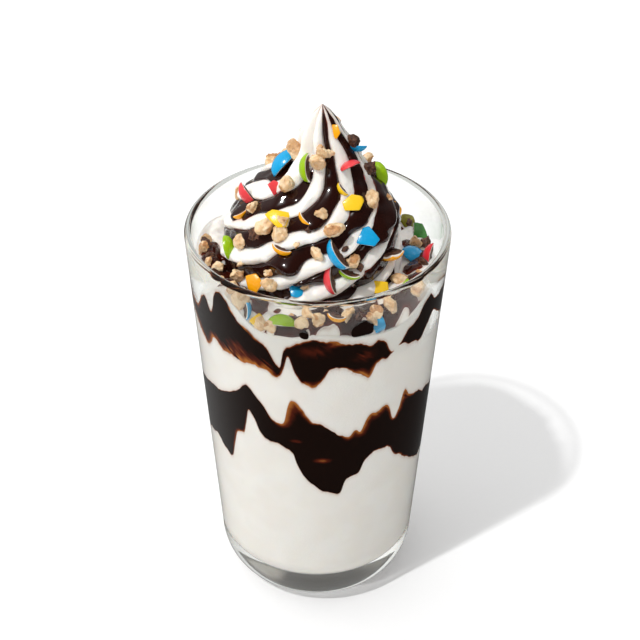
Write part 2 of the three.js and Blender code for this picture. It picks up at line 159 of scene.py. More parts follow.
def without_repeats(grid):
    """The grid's values with one for each end and one for each point between."""
    pieces = grid.shape[0]
    middle = grid[:, 1:-1].reshape(pieces, -1, *grid.shape[3:])
    return np.concatenate([grid[:, 0, :1], middle, grid[:, -1, :1]], 1)


def put_in_scene(name, data):
    """An object made from a mesh, a camera or a lamp."""
    made = bpy.data.objects.new(name, data)
    bpy.context.scene.collection.objects.link(made)
    return made


def make_skins(name, points, material, fields=None):
    """A mesh of closed skins. points is [pieces, rows, columns, 3] in millimetres, or one skin's
    [rows, columns, 3]. fields holds named values for the material, one or three for each point."""
    points = points.reshape(-1, *points.shape[-3:])
    pieces, rows, columns = points.shape[:3]
    places = without_repeats(points)
    count = places.shape[1]
    quads, ends = skin_faces(rows, columns)
    shifts = count * np.arange(pieces)[:, None, None]
    faces = [*(quads + shifts).reshape(-1, 4).tolist(), *(ends + shifts).reshape(-1, 3).tolist()]
    mesh = bpy.data.meshes.new(name)
    mesh.from_pydata(places.reshape(-1, 3) * MM, [], faces)
    mesh.shade_smooth()
    for field, grid in (fields or {}).items():
        values = without_repeats(grid.reshape(pieces, rows, columns, -1)).astype(np.float32)
        if values.shape[-1] == 1:
            attribute = mesh.attributes.new(field, "FLOAT", "POINT")
            attribute.data.foreach_set("value", values.ravel())
        else:
            attribute = mesh.attributes.new(field, "FLOAT_COLOR", "POINT")
            opaque = np.concatenate([values, np.ones_like(values[..., :1])], -1)
            attribute.data.foreach_set("color", opaque.ravel())
    mesh.materials.append(material)
    piece = put_in_scene(name, mesh)
    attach(piece, "root")
    print(f"{name}: {pieces} closed skins, {len(faces)} faces")
    return piece


# %% [markdown]
# ## Writing a finish as a sum
#
# A finish is a tree of nodes, and hard to read when written out node by node. So a small class
# wraps a node's output and lets Python's own signs add the Math nodes: `1 - mask` or
# `mask * 0.3`. Every other node comes from one method, which sets its options and then its
# sockets.

# %% Nodes as expressions
class Wire:
    """An output of a node that can be reckoned with."""

    def __init__(self, finish, output):
        self.finish = finish
        self.output = output

    def reckon(self, operation, *values):
        return self.finish.node("Math", {"operation": operation}, dict(enumerate(values)))

    def above(self, limit):
        """1 where the value is above the limit and 0 elsewhere."""
        return self.reckon("GREATER_THAN", self, limit)

    def at_least(self, other):
        """The larger of two values."""
        return self.reckon("MAXIMUM", self, other)

    __add__ = __radd__ = lambda self, other: self.reckon("ADD", self, other)
    __mul__ = __rmul__ = lambda self, other: self.reckon("MULTIPLY", self, other)
    __sub__ = lambda self, other: self.reckon("SUBTRACT", self, other)
    __rsub__ = lambda self, other: self.reckon("SUBTRACT", other, self)
    __truediv__ = lambda self, other: self.reckon("DIVIDE", self, other)
    __pow__ = lambda self, other: self.reckon("POWER", self, other)

    def between(self, low, high):
        """0 where the value is below low, 1 above high and even between."""
        limits = {0: self, 1: low, 2: high, 3: 0.0, 4: 1.0}
        return self.finish.node("MapRange", {"interpolation_type": "SMOOTHSTEP"}, limits)


class Finish:
    """A tree of nodes of a material, or of the world."""

    def __init__(self, name, owner=None):
        self.owner = owner or bpy.data.materials.new(name)
        self.owner.use_nodes = True
        self.tree = self.owner.node_tree
        self.tree.nodes.clear()

    def node(self, kind, settings=None, sockets=None, out=0):
        made = self.tree.nodes.new("ShaderNode" + kind)
        for name, value in (settings or {}).items():
            setattr(made, name, value)
        for name, value in (sockets or {}).items():
            if isinstance(value, Wire):
                self.tree.links.new(value.output, made.inputs[name])
            else:
                made.inputs[name].default_value = value
        return Wire(self, made.outputs[out]) if made.outputs else made

    def blend(self, first, second, share):
        """A mix of two colours."""
        colours = {6: first, 7: second, 0: share}
        return self.node("Mix", {"data_type": "RGBA"}, colours, out=2)

    def field(self, name, colour=False):
        """A value, or a colour, that the mesh carries at its points."""
        return self.node("Attribute", {"attribute_name": name}, out=0 if colour else 2)

    def ray(self, kind):
        """What kind of ray is asking, or how often it was turned."""
        return self.node("LightPath", out=kind)

    def noise(self, size, detail=2.0):
        """Noise whose blotches are about size millimetres, on the piece's own points."""
        place = self.node("TexCoord", out=3)
        sockets = {"Vector": place, "Scale": 1 / (size * MM), "Detail": detail}
        return self.node("TexNoise", {}, sockets)

    def bump(self, height, depth):
        """A normal from a height field whose whole range is depth millimetres."""
        return self.node("Bump", {}, {"Height": height, "Distance": depth * MM, "Strength": 1.0})

    def principled(self, sockets):
        """The material, with these sockets of Blender's all-round shader set."""
        return self.surface(self.node("BsdfPrincipled", {}, sockets))

    def surface(self, shader, kind="Material"):
        self.node("Output" + kind, {}, {"Surface": shader})
        return self.owner


def rgb(red, green, blue):
    return (red, green, blue, 1.0)


# %% [markdown]
# ## The tumbler
#
# A tumbler is turned from one outline: a flat thick foot, a round lower corner, a wall that
# tapers outwards and a lip rolled into a half circle. Glass shows what is behind it only if its
# wall has both faces and a real thickness, so the outline runs up the outside, over the lip, down
# the inside and back to the axis. Cycles' shadow rays can't find a lamp through glass that bends
# them, so they pass straight through, and the food inside is lit as if it stood in the open.

# %% The tumbler's outline
WALL = 2.6
FOOT_RADIUS = 25.0
SHOULDER_RADIUS = 36.8
SHOULDER_HEIGHT = 16.0
FLOOR_THICKNESS = 14.0
INNER_CORNER = 9.0
PUNT_RADIUS = 21.0
PUNT_HEIGHT = 1.2
GLASS_COLUMNS = 288
TAPER = (RIM_RADIUS - SHOULDER_RADIUS) / (GLASS_HEIGHT - SHOULDER_HEIGHT)


def inner_radius(height):
    """The inside of the wall: the straight outside less the wall."""
    return SHOULDER_RADIUS + TAPER * (height - SHOULDER_HEIGHT) - WALL


def corner(floor_radius, floor_height, wall_radius, wall_height, steps=20):
    """A quarter of an ellipse from a floor up into a wall, as rows of radius and height."""
    turn = radians(np.linspace(0, 90, steps))
    radius = floor_radius + (wall_radius - floor_radius) * np.sin(turn)
    return np.stack([radius, wall_height - (wall_height - floor_height) * np.cos(turn)], -1)


def inside_corner():
    """The inside's rounded lower corner."""
    start = FLOOR_THICKNESS + INNER_CORNER
    wall_radius = inner_radius(start)
    return corner(wall_radius - INNER_CORNER, FLOOR_THICKNESS, wall_radius, start)


def glass_outline():
    """Radius and height of the tumbler's outline, from the axis below round to the axis above."""
    punt = np.linspace(0, PUNT_RADIUS, 12)
    under = np.stack([punt, PUNT_HEIGHT * np.cos(punt / PUNT_RADIUS * math.pi / 2) ** 2], -1)
    lip = WALL / 2
    turn = radians(np.linspace(0, 180, 17))
    lip_radius = RIM_RADIUS - lip + lip * np.cos(turn)
    over = np.stack([lip_radius, GLASS_HEIGHT - lip + lip * np.sin(turn)], -1)
    outer = corner(FOOT_RADIUS, 0, SHOULDER_RADIUS, SHOULDER_HEIGHT)
    wall = np.linspace(outer[-1], over[0], 12)[1:-1]
    inner = np.linspace(over[-1], inside_corner()[-1], 12)[1:-1]
    floor = [[0, FLOOR_THICKNESS]]
    return np.concatenate([under, outer, wall, over, inner, inside_corner()[::-1], floor])


# %% Clear glass
MIRRORED_TIMES = 3.5
# The lip's shade starts and is full this far below the top, in millimetres.
LIP_FROM = 3.6
LIP_FULL = 2.0


def make_clear_glass():
    """Glass with its true bend of light. Rays from lamps go straight through it, but fewer where it
    is met edge on and in its lip, as real glass turns those aside. Light caught in the rim leaves
    it after it was mirrored a few times, or the rim would show only the dark sauce below it."""
    finish = Finish("clear_glass")
    tint = rgb(0.985, 0.99, 0.98)
    glass = finish.node("BsdfGlass", {}, {"Color": tint, "Roughness": 0.0, "IOR": 1.5})
    clear = finish.node("BsdfTransparent", {}, {"Color": rgb(0.97, 0.97, 0.97)})
    dark = finish.node("BsdfTransparent", {}, {"Color": rgb(0.03, 0.03, 0.03)})
    facing = finish.node("LayerWeight", {}, {"Blend": 0.5}, out="Facing")
    shadow, diffuse = finish.ray("Is Shadow Ray"), finish.ray("Is Diffuse Ray")
    turned_aside = (facing**2 * 0.95).at_least(finish.field("lip") * 0.5)
    lost = facing**3 * 0.55 * diffuse + turned_aside * shadow
    lit = finish.node("MixShader", {}, {0: lost, 1: clear, 2: dark})
    mirrored = finish.ray("Glossy Depth").above(MIRRORED_TIMES)
    through = shadow.at_least(diffuse).at_least(mirrored)
    return finish.surface(finish.node("MixShader", {}, {0: through, 1: glass, 2: lit}))


outline = glass_outline()
angles = np.arange(GLASS_COLUMNS) * 360 / GLASS_COLUMNS
glass_points = around(outline[:, :1], angles, outline[:, 1:])
lip = smooth_step(GLASS_HEIGHT - LIP_FROM, GLASS_HEIGHT - LIP_FULL, glass_points[..., 2])
tumbler = make_skins("tumbler", glass_points, make_clear_glass(), {"lip": lip})
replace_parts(tumbler, "glass")

# %% [markdown]
# ## Ice cream
#
# Soft serve is white, dense and a little wet. Light goes in, scatters and comes out nearby, which
# softens its shadows: that is subsurface scattering of a millimetre or so. Its surface is nearly
# smooth, so the bump stays shallow. Each mesh carries a field for the thin stain that has crept
# along it beside the sauce. The lowest carries one more, for the side that faces the glass's
# foot: real glass mirrors light that comes in at a slant, so little reaches that side. The
# straight rays above don't know this, so it is painted darker.

# %% Ice cream finish
def make_ice_cream():
    """White soft serve: stained beside the sauce, with painted shade where it faces the foot."""
    finish = Finish("ice_cream")
    warm = finish.noise(11, 3.0)
    white = finish.blend(rgb(0.91, 0.868, 0.808), rgb(0.94, 0.903, 0.85), warm.between(0.35, 0.65))
    stain = finish.field("stain")
    colour = finish.blend(white, rgb(0.42, 0.2, 0.1), stain * 0.75)
    # Painted shade on the side that faces the glass's foot, where little light gets in.
    colour = finish.blend(colour, rgb(0.34, 0.33, 0.32), finish.field("painted_underside_shade"))
    relief = finish.noise(2.6, 4.0) * 0.7 + finish.noise(0.7, 2.0) * 0.3
    return finish.principled({
        "Base Color": colour,
        "Roughness": 0.34 + warm * 0.16,
        "Normal": finish.bump(relief, 0.16),
        "Subsurface Weight": 0.35,
        "Subsurface Radius": (1.0, 0.8, 0.6),
        "Subsurface Scale": 1.6 * MM,
        "Coat Weight": 0.12,
        "Coat Roughness": 0.15,
    })


ICE_CREAM = make_ice_cream()

# %% [markdown]
# ## Chocolate sauce
#
# Thick sauce is almost black and mirrors the lamps like wet paint. Where it thins out over white
# ice cream, light gets through and it turns red-brown, then orange-brown. Real scattering in so
# thin a film would need a fine mesh on both sides. So the film's thickness is worked out with the
# shape, carried as a field and turned into colour by the finish.

# %% Sauce finish
def make_sauce(name, thin_colour, deep, thin_reach, shine):
    """Dark wet sauce. Where the film field falls it turns dark red, and at 0 it is the thin colour.
    Against the glass it has no shine of its own, since there is no air between."""
    finish = Finish(name)
    film = finish.field("film")
    streaks = finish.noise(2.0, 4.0)
    depth = film / thin_reach + (streaks - 0.5) * 0.3
    red = finish.blend(rgb(0.10, 0.014, 0.005), deep, depth.between(0.25, 0.95))
    return finish.principled({
        "Base Color": finish.blend(thin_colour, red, depth.between(-0.1, 0.5)),
        "Roughness": 0.05 + streaks * 0.06,
        "Normal": finish.bump(finish.noise(7, 1.0), 0.12),
        "IOR": 1.45,
        "Specular IOR Level": shine,
    })


ORANGE_BROWN, NEARLY_BLACK = rgb(0.50, 0.17, 0.035), rgb(0.0075, 0.0024, 0.0012)
RED_BROWN, DARK_BROWN = rgb(0.13, 0.012, 0.006), rgb(0.019, 0.0042, 0.0026)
WALL_SAUCE = make_sauce("sauce_on_glass", ORANGE_BROWN, NEARLY_BLACK, 1.0, 0.0)
POURED_SAUCE = make_sauce("poured_sauce", RED_BROWN, DARK_BROWN, 0.5, 0.5)

# %% [markdown]
# ## The layers inside the glass
#
# The fillings press against the glass with no air between, so each layer reaches a hair into the
# wall: light then passes straight from glass into food. The sauce reaches a little further than
# the ice cream, so that it lies in front where both meet.
#
# A layer could be cut from a block with booleans. It is simpler to draw its two edges on the
# glass as curves and let both faces bend from there to the middle, as on the solids of the model.

# %% The sauce's edges on the glass
LOWER_TOP = [
    (-80, 93), (-66, 96), (-58, 97), (-47, 100), (-42, 103), (-37, 107), (-32, 106), (-26, 101),
    (-23, 97), (-20, 95), (-16, 96), (-13.5, 104), (-11, 106), (-8, 104), (-5, 100), (-2, 97),
    (3, 96), (7, 93), (12, 90), (16, 89), (19, 92), (22, 91), (25, 96), (29, 98), (37, 98),
    (41, 91), (44, 94), (47, 102), (51, 98), (56, 96), (80, 90), (98, 94), (115, 93), (130, 100),
    (146, 93), (160, 90), (175, 86), (190, 94), (205, 98), (220, 101), (234, 93), (250, 89),
]
LOWER_BOTTOM = [
    (-80, 68), (-63, 72), (-56, 69), (-50, 67.5), (-46.5, 77), (-44, 83), (-39, 85), (-37, 91),
    (-35, 96.5), (-31.5, 93), (-29, 88), (-24, 85), (-17, 84), (-12, 81), (-10, 76), (-8, 73),
    (-3, 67), (3, 63), (10, 61), (13, 62), (15, 67), (18, 69), (23, 71), (25, 75), (31, 78),
    (38, 78), (45, 72), (51, 68), (61, 62), (75, 57), (90, 62), (100, 64), (115, 72), (130, 76),
    (146, 70), (160, 66), (175, 62), (190, 71), (205, 76), (220, 78), (234, 70), (250, 65),
]
UPPER_TOP = [
    (-88, 133), (-69, 129), (-61, 136), (-58, 137), (-55, 133), (-52.5, 136), (-51, 141),
    (-47, 143.5), (-43, 142), (-40, 138), (-36, 134.5), (-30, 132), (-23, 128), (-17, 121),
    (-15, 128), (-12, 131), (-3, 134), (1, 134), (12, 132), (19, 131), (25, 129), (28, 130),
    (32, 128.5), (36, 124), (40, 126), (44, 130), (51, 132), (54, 136), (59, 138), (64, 134),
    (75, 134), (95, 130), (115, 125), (140, 132), (160, 136), (185, 130), (205, 125), (230, 134),
    (250, 137),
]
UPPER_BOTTOM = [
    (-88, 126), (-71, 119.5), (-65, 117), (-61, 115), (-57.5, 118), (-55, 121), (-47, 119),
    (-37, 118.5), (-23, 118.5), (-19, 116), (-16, 118), (-13, 125.5), (-10.5, 120), (-8, 116.5),
    (-5, 114.5), (-1, 114), (3, 117), (6, 121.5), (15, 120), (20, 117), (24, 115.5), (27, 118.5),
    (30, 121.5), (35, 121), (40, 123), (54, 121.5), (59, 124), (64, 129), (72, 124), (80, 121),
    (95, 124), (115, 122), (140, 120), (160, 124), (185, 118), (205, 121), (230, 119), (250, 124),
]
# The splashes thin out to nothing at their ends: angle and share of the full thickness.
UPPER_SHOWN = [
    (-92, 0), (-84, 0.6), (-76, 1), (32, 1), (36, 0.3), (38, 0), (41, 0.3), (46, 1), (90, 1),
    (100, 0.75), (107, 0), (119, 0), (127, 0.75), (136, 1), (184, 1), (194, 0.75), (200, 0),
    (212, 0), (219, 0.75), (228, 1), (248, 1), (257, 0.7), (264, 0),
]
# How wide the thin sauce is along each edge: angle and millimetres.
LOWER_TOP_THIN = [
    (-80, 0.5), (-37, 0.4), (-24, 0.6), (-17, 2.6), (-13, 6), (-8, 3.2), (-3, 1.6), (4, 0.6),
    (11, 0.5), (16, 2.4), (22, 3.4), (30, 4.2), (36, 2.4), (41, 1.4), (46, 4), (51, 2.2), (60, 0.6),
    (95, 0.5), (130, 3), (160, 0.6), (205, 2.5), (235, 0.5),
]
LOWER_BOTTOM_THIN = [
    (-80, 0.4), (-52, 0.5), (-45, 1.6), (-39, 1.2), (-33, 0.4), (-12, 0.4), (4, 0.3), (30, 0.6),
    (50, 1.2), (62, 0.5), (130, 0.5), (200, 1.2), (250, 0.4),
]
UPPER_TOP_THIN = [
    (-88, 0.5), (-74, 3), (-66, 1.2), (-55, 0.5), (-30, 0.8), (-15, 0.5), (-8, 0.8), (4, 0.8),
    (9, 1.6), (14, 0.6), (30, 0.7), (60, 0.5), (120, 1.2), (200, 0.6), (250, 0.6),
]
UPPER_BOTTOM_THIN = [
    (-88, 0.6), (-74, 3.5), (-64, 2.6), (-55, 2.5), (-45, 3.4), (-34, 4.6), (-25, 3.6), (-18, 1.2),
    (-8, 0.7), (-2, 2.6), (3, 0.8), (14, 0.7), (22, 3), (28, 1.4), (34, 0.6), (60, 0.6), (120, 1.5),
    (160, 0.6), (205, 2.5), (250, 0.6),
]
# Lighter lens-shaped places in the bands: angle, height, how far round, how far up and how thin.
THIN_SPOTS = [
    (-10, 87.5, 4, 1.0, 0.8), (3, 78.5, 5, 1.4, 1.0), (7, 131.5, 2.6, 1.0, 0.7),
    (-2, 129, 7, 2.4, 0.5), (22, 125, 5, 2.2, 0.5), (-39, 124, 5, 2.2, 0.6), (140, 80, 5, 1.2, 0.8),
    (215, 88, 6, 1.2, 0.8),
]
LAYER_COLUMNS = 720
MEAN_RADIUS = 40.0
layer_angles = np.arange(LAYER_COLUMNS) * 360 / LAYER_COLUMNS


def ragged(knots, seed):
    """An edge with the small nicks and bays of a real one: waves of 6 mm and of 1.8 mm added."""
    on_wall = around(MEAN_RADIUS, layer_angles, 0.0)
    edge = loop_through(knots)(layer_angles) + 0.35 * wobble(on_wall, 6, seed)
    return edge + 0.13 * wobble(on_wall, 1.8, seed + 1)


LOWER_EDGES = ragged(LOWER_BOTTOM, 11), ragged(LOWER_TOP, 12)
upper_low, upper_high = ragged(UPPER_BOTTOM, 13), ragged(UPPER_TOP, 14)
upper_shown = np.clip(loop_through(UPPER_SHOWN)(layer_angles), 0.04, 1)
upper_half = (upper_high - upper_low) / 2 * upper_shown
upper_middle = (upper_high + upper_low) / 2
UPPER_EDGES = upper_middle - upper_half, upper_middle + upper_half
LOWER_CENTRE = 80.0, 90.0
UPPER_CENTRE = 124.0, 127.0
print(f"lower band {np.ptp(np.stack(LOWER_EDGES)):.0f} mm from lowest to highest")

# %% Layers of sauce
ICE_INTO_WALL = 0.06
SAUCE_INTO_WALL = 0.12
FACE_SHARES = np.array([0.0, 0.35, 0.6, 0.78, 0.9, 0.97])[:, None]
FACE_BEND = 3
EDGE_ROWS = 60
NEAR_COLUMNS = 22
UPPER_FULLNESS = 0.8
HARDLY_SHOWN = 0.06


def face(centre, edge, reach=1.0):
    """Rows of radius and height from the axis to the wall: level, then bent to the edge."""
    height = centre + (edge - centre) * FACE_SHARES**FACE_BEND
    return FACE_SHARES * reach * inner_radius(height), height


def way_to_edge(height, edge, thin):
    """How far each point of the rim is from an edge, in widths of the thin sauce there: the least
    of sqrt(sideways² + upwards²) / width, over the edge's points up to 9 mm to either side."""
    step = radians(layer_angles[1]) * RIM_RADIUS
    ways = [
        np.hypot(shift * step, height - np.roll(edge, shift)) / np.roll(thin, shift)
        for shift in range(-NEAR_COLUMNS, NEAR_COLUMNS + 1)
    ]
    return np.min(ways, 0)


def thinness(height, low, high, thin_edges):
    """The sauce's thickness at the glass, from 0 at its edges to 1 where it is dark. Spots thin it
    as well, and so do slanting streaks where the lower edge is thin."""
    thin_top, thin_bottom = (loop_through(knots)(layer_angles) for knots in thin_edges)
    film = np.minimum(way_to_edge(height, high, thin_top), way_to_edge(height, low, thin_bottom))
    for angle, spot_height, wide, tall, change in THIN_SPOTS:
        across = angle_between(layer_angles, angle) / wide
        lens = np.exp(-(across**2) - ((height - spot_height) / tall) ** 2)
        film = np.minimum(film, 1.2) - change * lens
    across, along = 0.7 * layer_angles + height, height - 0.7 * layer_angles
    slant = np.stack([across, 0.12 * along, 0 * height], -1)
    streaks = wobble(slant, 1.6, 15) * np.abs(wobble(slant, 7, 17))
    return film + 0.05 * np.minimum(thin_bottom, 6) * streaks * (film < 1.1)


def sauce_layer(node, edges, thin_edges, fullness, centre, reach):
    """A layer through the filling. Its rim has rows close together near both edges, and a
    fullness below 1 makes all of it browner."""
    low, high = edges
    share = smooth_step(0, 1, np.linspace(0, 1, EDGE_ROWS))[:, None]
    rim_height = low + (high - low) * share
    rim_radius = reach * inner_radius(rim_height) + SAUCE_INTO_WALL
    under_radius, under_height = face(centre[0], low, reach)
    over_radius, over_height = face(centre[1], high, reach)
    radius = np.concatenate([under_radius, rim_radius, over_radius[::-1]])
    height = np.concatenate([under_height, rim_height, over_height[::-1]])
    film = fullness * thinness(rim_height, low, high, thin_edges)
    still = np.full_like(under_height, 9.0)
    fields = {"film": np.concatenate([still, film, still])}
    points = around(radius, layer_angles, height)
    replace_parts(make_skins(f"{node}_layer", points, WALL_SAUCE, fields), node)


lower_thin = LOWER_TOP_THIN, LOWER_BOTTOM_THIN
sauce_layer("lower_sauce", LOWER_EDGES, lower_thin, 1.0, LOWER_CENTRE, 1.0)
upper_thin = UPPER_TOP_THIN, UPPER_BOTTOM_THIN
# Between the splashes the layer stops short of the glass.
upper_reach = np.where(upper_shown > HARDLY_SHOWN, 1.0, 0.9)
sauce_layer("upper_sauce", UPPER_EDGES, upper_thin, UPPER_FULLNESS, UPPER_CENTRE, upper_reach)

# %% The lower ice cream
UNDER_SAUCE = 1.5
STAIN_REACH = 0.5
WALL_ROWS = 24
FLOOR_ROWS = 14
ice_corner = inside_corner()[:, :, None]
# How much painted shade each row of the inside corner gets: full on its lowest part, none from
# about two thirds of the way up.
UNDERSIDE_SHADE = smooth_step(0.64, 0.3, np.linspace(0, 1, len(ice_corner)))[:, None]


def rows_of(*parts):
    """Rows of a skin, each part of them spread over all columns."""
    return np.concatenate([np.broadcast_to(part, (len(part), LAYER_COLUMNS)) for part in parts])


def lower_ice_cream():
    """From the floor up the wall to just behind the sauce's lower edge, then in to the axis."""
    top = LOWER_EDGES[0] + UNDER_SAUCE
    corner_radius = ice_corner[:, 0] + ICE_INTO_WALL
    corner_height = ice_corner[:, 1] - ICE_INTO_WALL
    share = np.linspace(0, 1, WALL_ROWS)[1:, None] ** 0.5
    wall_height = corner_height[-1] + (top - corner_height[-1]) * share
    over_radius, over_height = face(LOWER_CENTRE[0], top)
    wall_radius = inner_radius(wall_height) + ICE_INTO_WALL
    floor_radius = corner_radius[0] * np.linspace(0, 1, FLOOR_ROWS, endpoint=False)[:, None]
    floor_height = 0 * floor_radius + corner_height[0]
    radius = rows_of(floor_radius, corner_radius, wall_radius, over_radius[::-1])
    height = rows_of(floor_height, corner_height, wall_height, over_height[::-1])
    split = FLOOR_ROWS + len(corner_radius)
    points = around(radius, layer_angles, height)
    stain = 0.8 * np.exp(-np.abs(height - LOWER_EDGES[0]) / STAIN_REACH)
    # Painted shade under the filling, where it faces the foot. Painted light towards the foot's
    # sides and in random glints lifts it, and the corner keeps more of the shade.
    across = radius[:split] * np.sin(radians(layer_angles))
    painted_glints = 0.5 * wobble(points[:split] * (1, 0.3, 1), 9, 16)
    lit = np.clip(smooth_step(3, 12, np.abs(across)) + painted_glints, 0, 0.95)
    lit[FLOOR_ROWS:] *= 0.4
    shade_facing_foot = rows_of(np.ones((FLOOR_ROWS, 1)), UNDERSIDE_SHADE) * (1 - lit)
    painted_underside_shade = rows_of(shade_facing_foot, 0 * wall_height, 0 * over_height)
    fields = {"stain": stain, "painted_underside_shade": painted_underside_shade}
    return make_skins("lower_ice_cream_layer", points, ICE_CREAM, fields)


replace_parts(lower_ice_cream(), "lower_ice_cream")

# %% [markdown]
# ## The upper ice cream and the ring round the swirl
#
# The upper filling ends in a soft lumpy ring, which leans against the glass and carries the
# swirl. It could be sculpted. Here it is a height over a flat ring, which rises from the glass
# and rolls in slow waves, with two sizes of random lumps added. Nothing on it folds over, and
# every topping can ask the same function where to lie.

# %% The height of the ring
FILL_LINE = [
    (-80, 138), (-66, 136), (-54, 141), (-47, 145), (-38, 141), (-28, 135), (-12, 134), (0, 136),
    (20, 134), (35, 133), (48, 136), (58, 141), (75, 137), (100, 133), (130, 135), (160, 139),
    (185, 134), (205, 131), (230, 137), (250, 140),
]
RING_EDGE = 41.2
RING_DISH = 6
RING_SLOPE_WIDTH = 5.0
SOCKET_HEIGHT = 136.0
fill_line = loop_through(FILL_LINE)


def ring_height(angle, radius):
    """It rises from the fill line in a quarter of a sine, higher in front, and rolls in waves."""
    slope = np.sin(math.pi / 2 * np.clip((RING_EDGE - radius) / RING_SLOPE_WIDTH, 0, 1))
    waves = np.cos(radians(5 * angle - 50)) + 0.6 * np.cos(radians(8 * angle - 60))
    lumps = around(radius, angle, 0.0)
    waves = 1.2 * waves + 0.7 * wobble(lumps, 9, 21) + 0.3 * wobble(lumps, 3.5, 22)
    levelled = np.minimum(radius / RING_EDGE, 1) ** RING_DISH
    edge = SOCKET_HEIGHT + (fill_line(angle) - SOCKET_HEIGHT) * levelled
    rise = 1 + 5.5 * np.sqrt((1 + np.cos(radians(angle))) / 2)
    return edge + slope * (rise + waves) * levelled


# %% Sauce that ran down onto the ring
# Each patch: angle, radius and size.
RING_PATCHES = [
    (-48, 37, 5), (-33, 36, 4), (-12, 39.5, 6), (0, 36, 4), (6, 34, 4), (14, 39, 5), (24, 35, 4),
    (36, 38, 5), (48, 38, 4.5), (62, 36, 4), (-70, 35, 3.5), (-92, 34, 4), (90, 34, 4),
    (-60, 33, 4), (-80, 37, 4), (76, 33, 4), (104, 34, 4), (128, 34, 4), (160, 34, 4), (190, 35, 4),
    (215, 34, 4), (240, 34, 4),
]


def ring_cover(angle, radius):
    """Above 0 where sauce lies: round hills at the patches, less half, with a ragged edge."""
    cover = 0
    for patch_angle, patch_radius, size in RING_PATCHES:
        across = radians(angle_between(angle, patch_angle)) * radius
        cover = cover + np.exp(-(across**2 + (radius - patch_radius) ** 2) / size**2)
    return cover - 0.5 + 0.16 * wobble(around(radius, angle, 0.0), 4, 23)


# %% The upper ice cream
RING_INSIDE = 26.0
RING_ROWS = 42
WALL_SHARES = np.linspace(0, 1, 40)[:, None]
filling_low = LOWER_EDGES[1] - UNDER_SAUCE
wall_height = filling_low + (fill_line(layer_angles) - filling_low) * WALL_SHARES
wall_radius = inner_radius(wall_height) + ICE_INTO_WALL
inwards = np.linspace(0, 1, RING_ROWS)[1:, None] ** 1.3
ring_radius = wall_radius[-1] + (RING_INSIDE - wall_radius[-1]) * inwards
ring_top = ring_height(layer_angles, ring_radius)


def upper_ice_cream():
    """In along the lower sauce's top, up the wall to the fill line, then in over the ring."""
    under_radius, under_height = face(LOWER_CENTRE[1], filling_low)
    centre = np.zeros((1, 1))
    radius = rows_of(under_radius, wall_radius, ring_radius, centre)
    height = rows_of(under_height, wall_height, ring_top, centre + SOCKET_HEIGHT)
    stain = 0.8 * np.exp(-np.abs(height - LOWER_EDGES[1]) / STAIN_REACH)
    for edge in UPPER_EDGES:
        stain = stain + upper_shown * np.exp(-np.abs(height - edge) / STAIN_REACH)
    ring = slice(-RING_ROWS, -1)
    cover = ring_cover(layer_angles, radius[ring])
    stain[ring] = 0.6 * np.exp(-np.abs(cover) / 0.06)
    points = around(radius, layer_angles, height)
    fields = {"stain": np.clip(stain, 0, 1)}
    return make_skins("upper_ice_cream_layer", points, ICE_CREAM, fields)


RING_FULLNESS = 0.42
RING_SAUCE_LOW = 128.0
RING_SAUCE_MIDDLE = 134.0


def ring_sauce():
    """A skin that is just below the ring, and bulges out of it where the cover is above 0."""
    cover = ring_cover(layer_angles, ring_radius)
    film = np.where(cover > 0, 0.9 * (1 - np.exp(-cover / 0.12)), 0.6 * np.tanh(cover / 0.08))
    centre = np.zeros((1, 1))
    radius = rows_of(centre, ring_radius[:1] - 1.0, ring_radius - 0.15, centre)
    height = rows_of(
        centre + RING_SAUCE_LOW, ring_top[:1] - 3.0, ring_top + film, centre + RING_SAUCE_MIDDLE
    )
    film = RING_FULLNESS * rows_of(centre - 1, centre - 1, film, centre - 1)
    points = around(radius, layer_angles, height)
    make_skins("sauce_on_ring", points, POURED_SAUCE, {"film": film})


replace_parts(upper_ice_cream(), "upper_ice_cream")
ring_sauce()

# %% [markdown]
# ## The swirl
#
# A star-shaped nozzle gives soft serve its ridges, and turning the cup twists them into ropes.
# One could sweep a star along a spiral. But the ropes wander, so each point's radius is worked
# out straight from its angle and height: a cone's outline, less a valley that depends on how far
# round the nearest rope is.

# %% The swirl's lines
SWIRL_OUTLINE = [
    (136, 31), (143, 31), (150, 29.8), (157, 27.2), (165, 22.2), (171, 16.6), (178, 11.2),
    (187, 6.9), (193, 3.2), (196, 0),
]
SWIRL_LEAN = [(136, -2), (153, -2), (165, 0), (171, 1.0), (180, 2.6), (187, 1.4), (196, 1.3)]
RIDGES = 8
RIDGE_ANGLE = 30
TWIST_TOP = 173.0
TWIST_PER_MM = 4.2
TWIST_EASE = 4.0
VALLEY_DEPTH = 5.0
VALLEY_SHARE = 0.34
# Where the ropes wander to one side: angle, height and how many degrees.
RIDGE_WANDER = np.array([
    (-95, 166, -14), (-62, 170, 8), (-35, 172, 18), (-45, 164, -2), (8, 172, 8), (10, 165, 6),
    (30, 182, -4), (45, 181, 14), (28, 163, 12), (50, 171, 8), (60, 176, 14), (66, 169, 0),
    (95, 166, 16), (-20, 158, -6), (-40, 149, 6), (75, 153, 14), (60, 146, 8), (-70, 155, -4),
], float)
WANDER_ANGLE = 16.0
WANDER_HEIGHT = 5.0
WANDER_REST = 0.35
outline_at = curve_through(SWIRL_OUTLINE)
lean_at = curve_through(SWIRL_LEAN)


def twist_at(height):
    """How far the ropes have turned: not at all near the peak and evenly below it."""
    drop = np.maximum(TWIST_TOP - height, 0)
    return -TWIST_PER_MM * (drop - TWIST_EASE * (1 - np.exp(-drop / TWIST_EASE)))


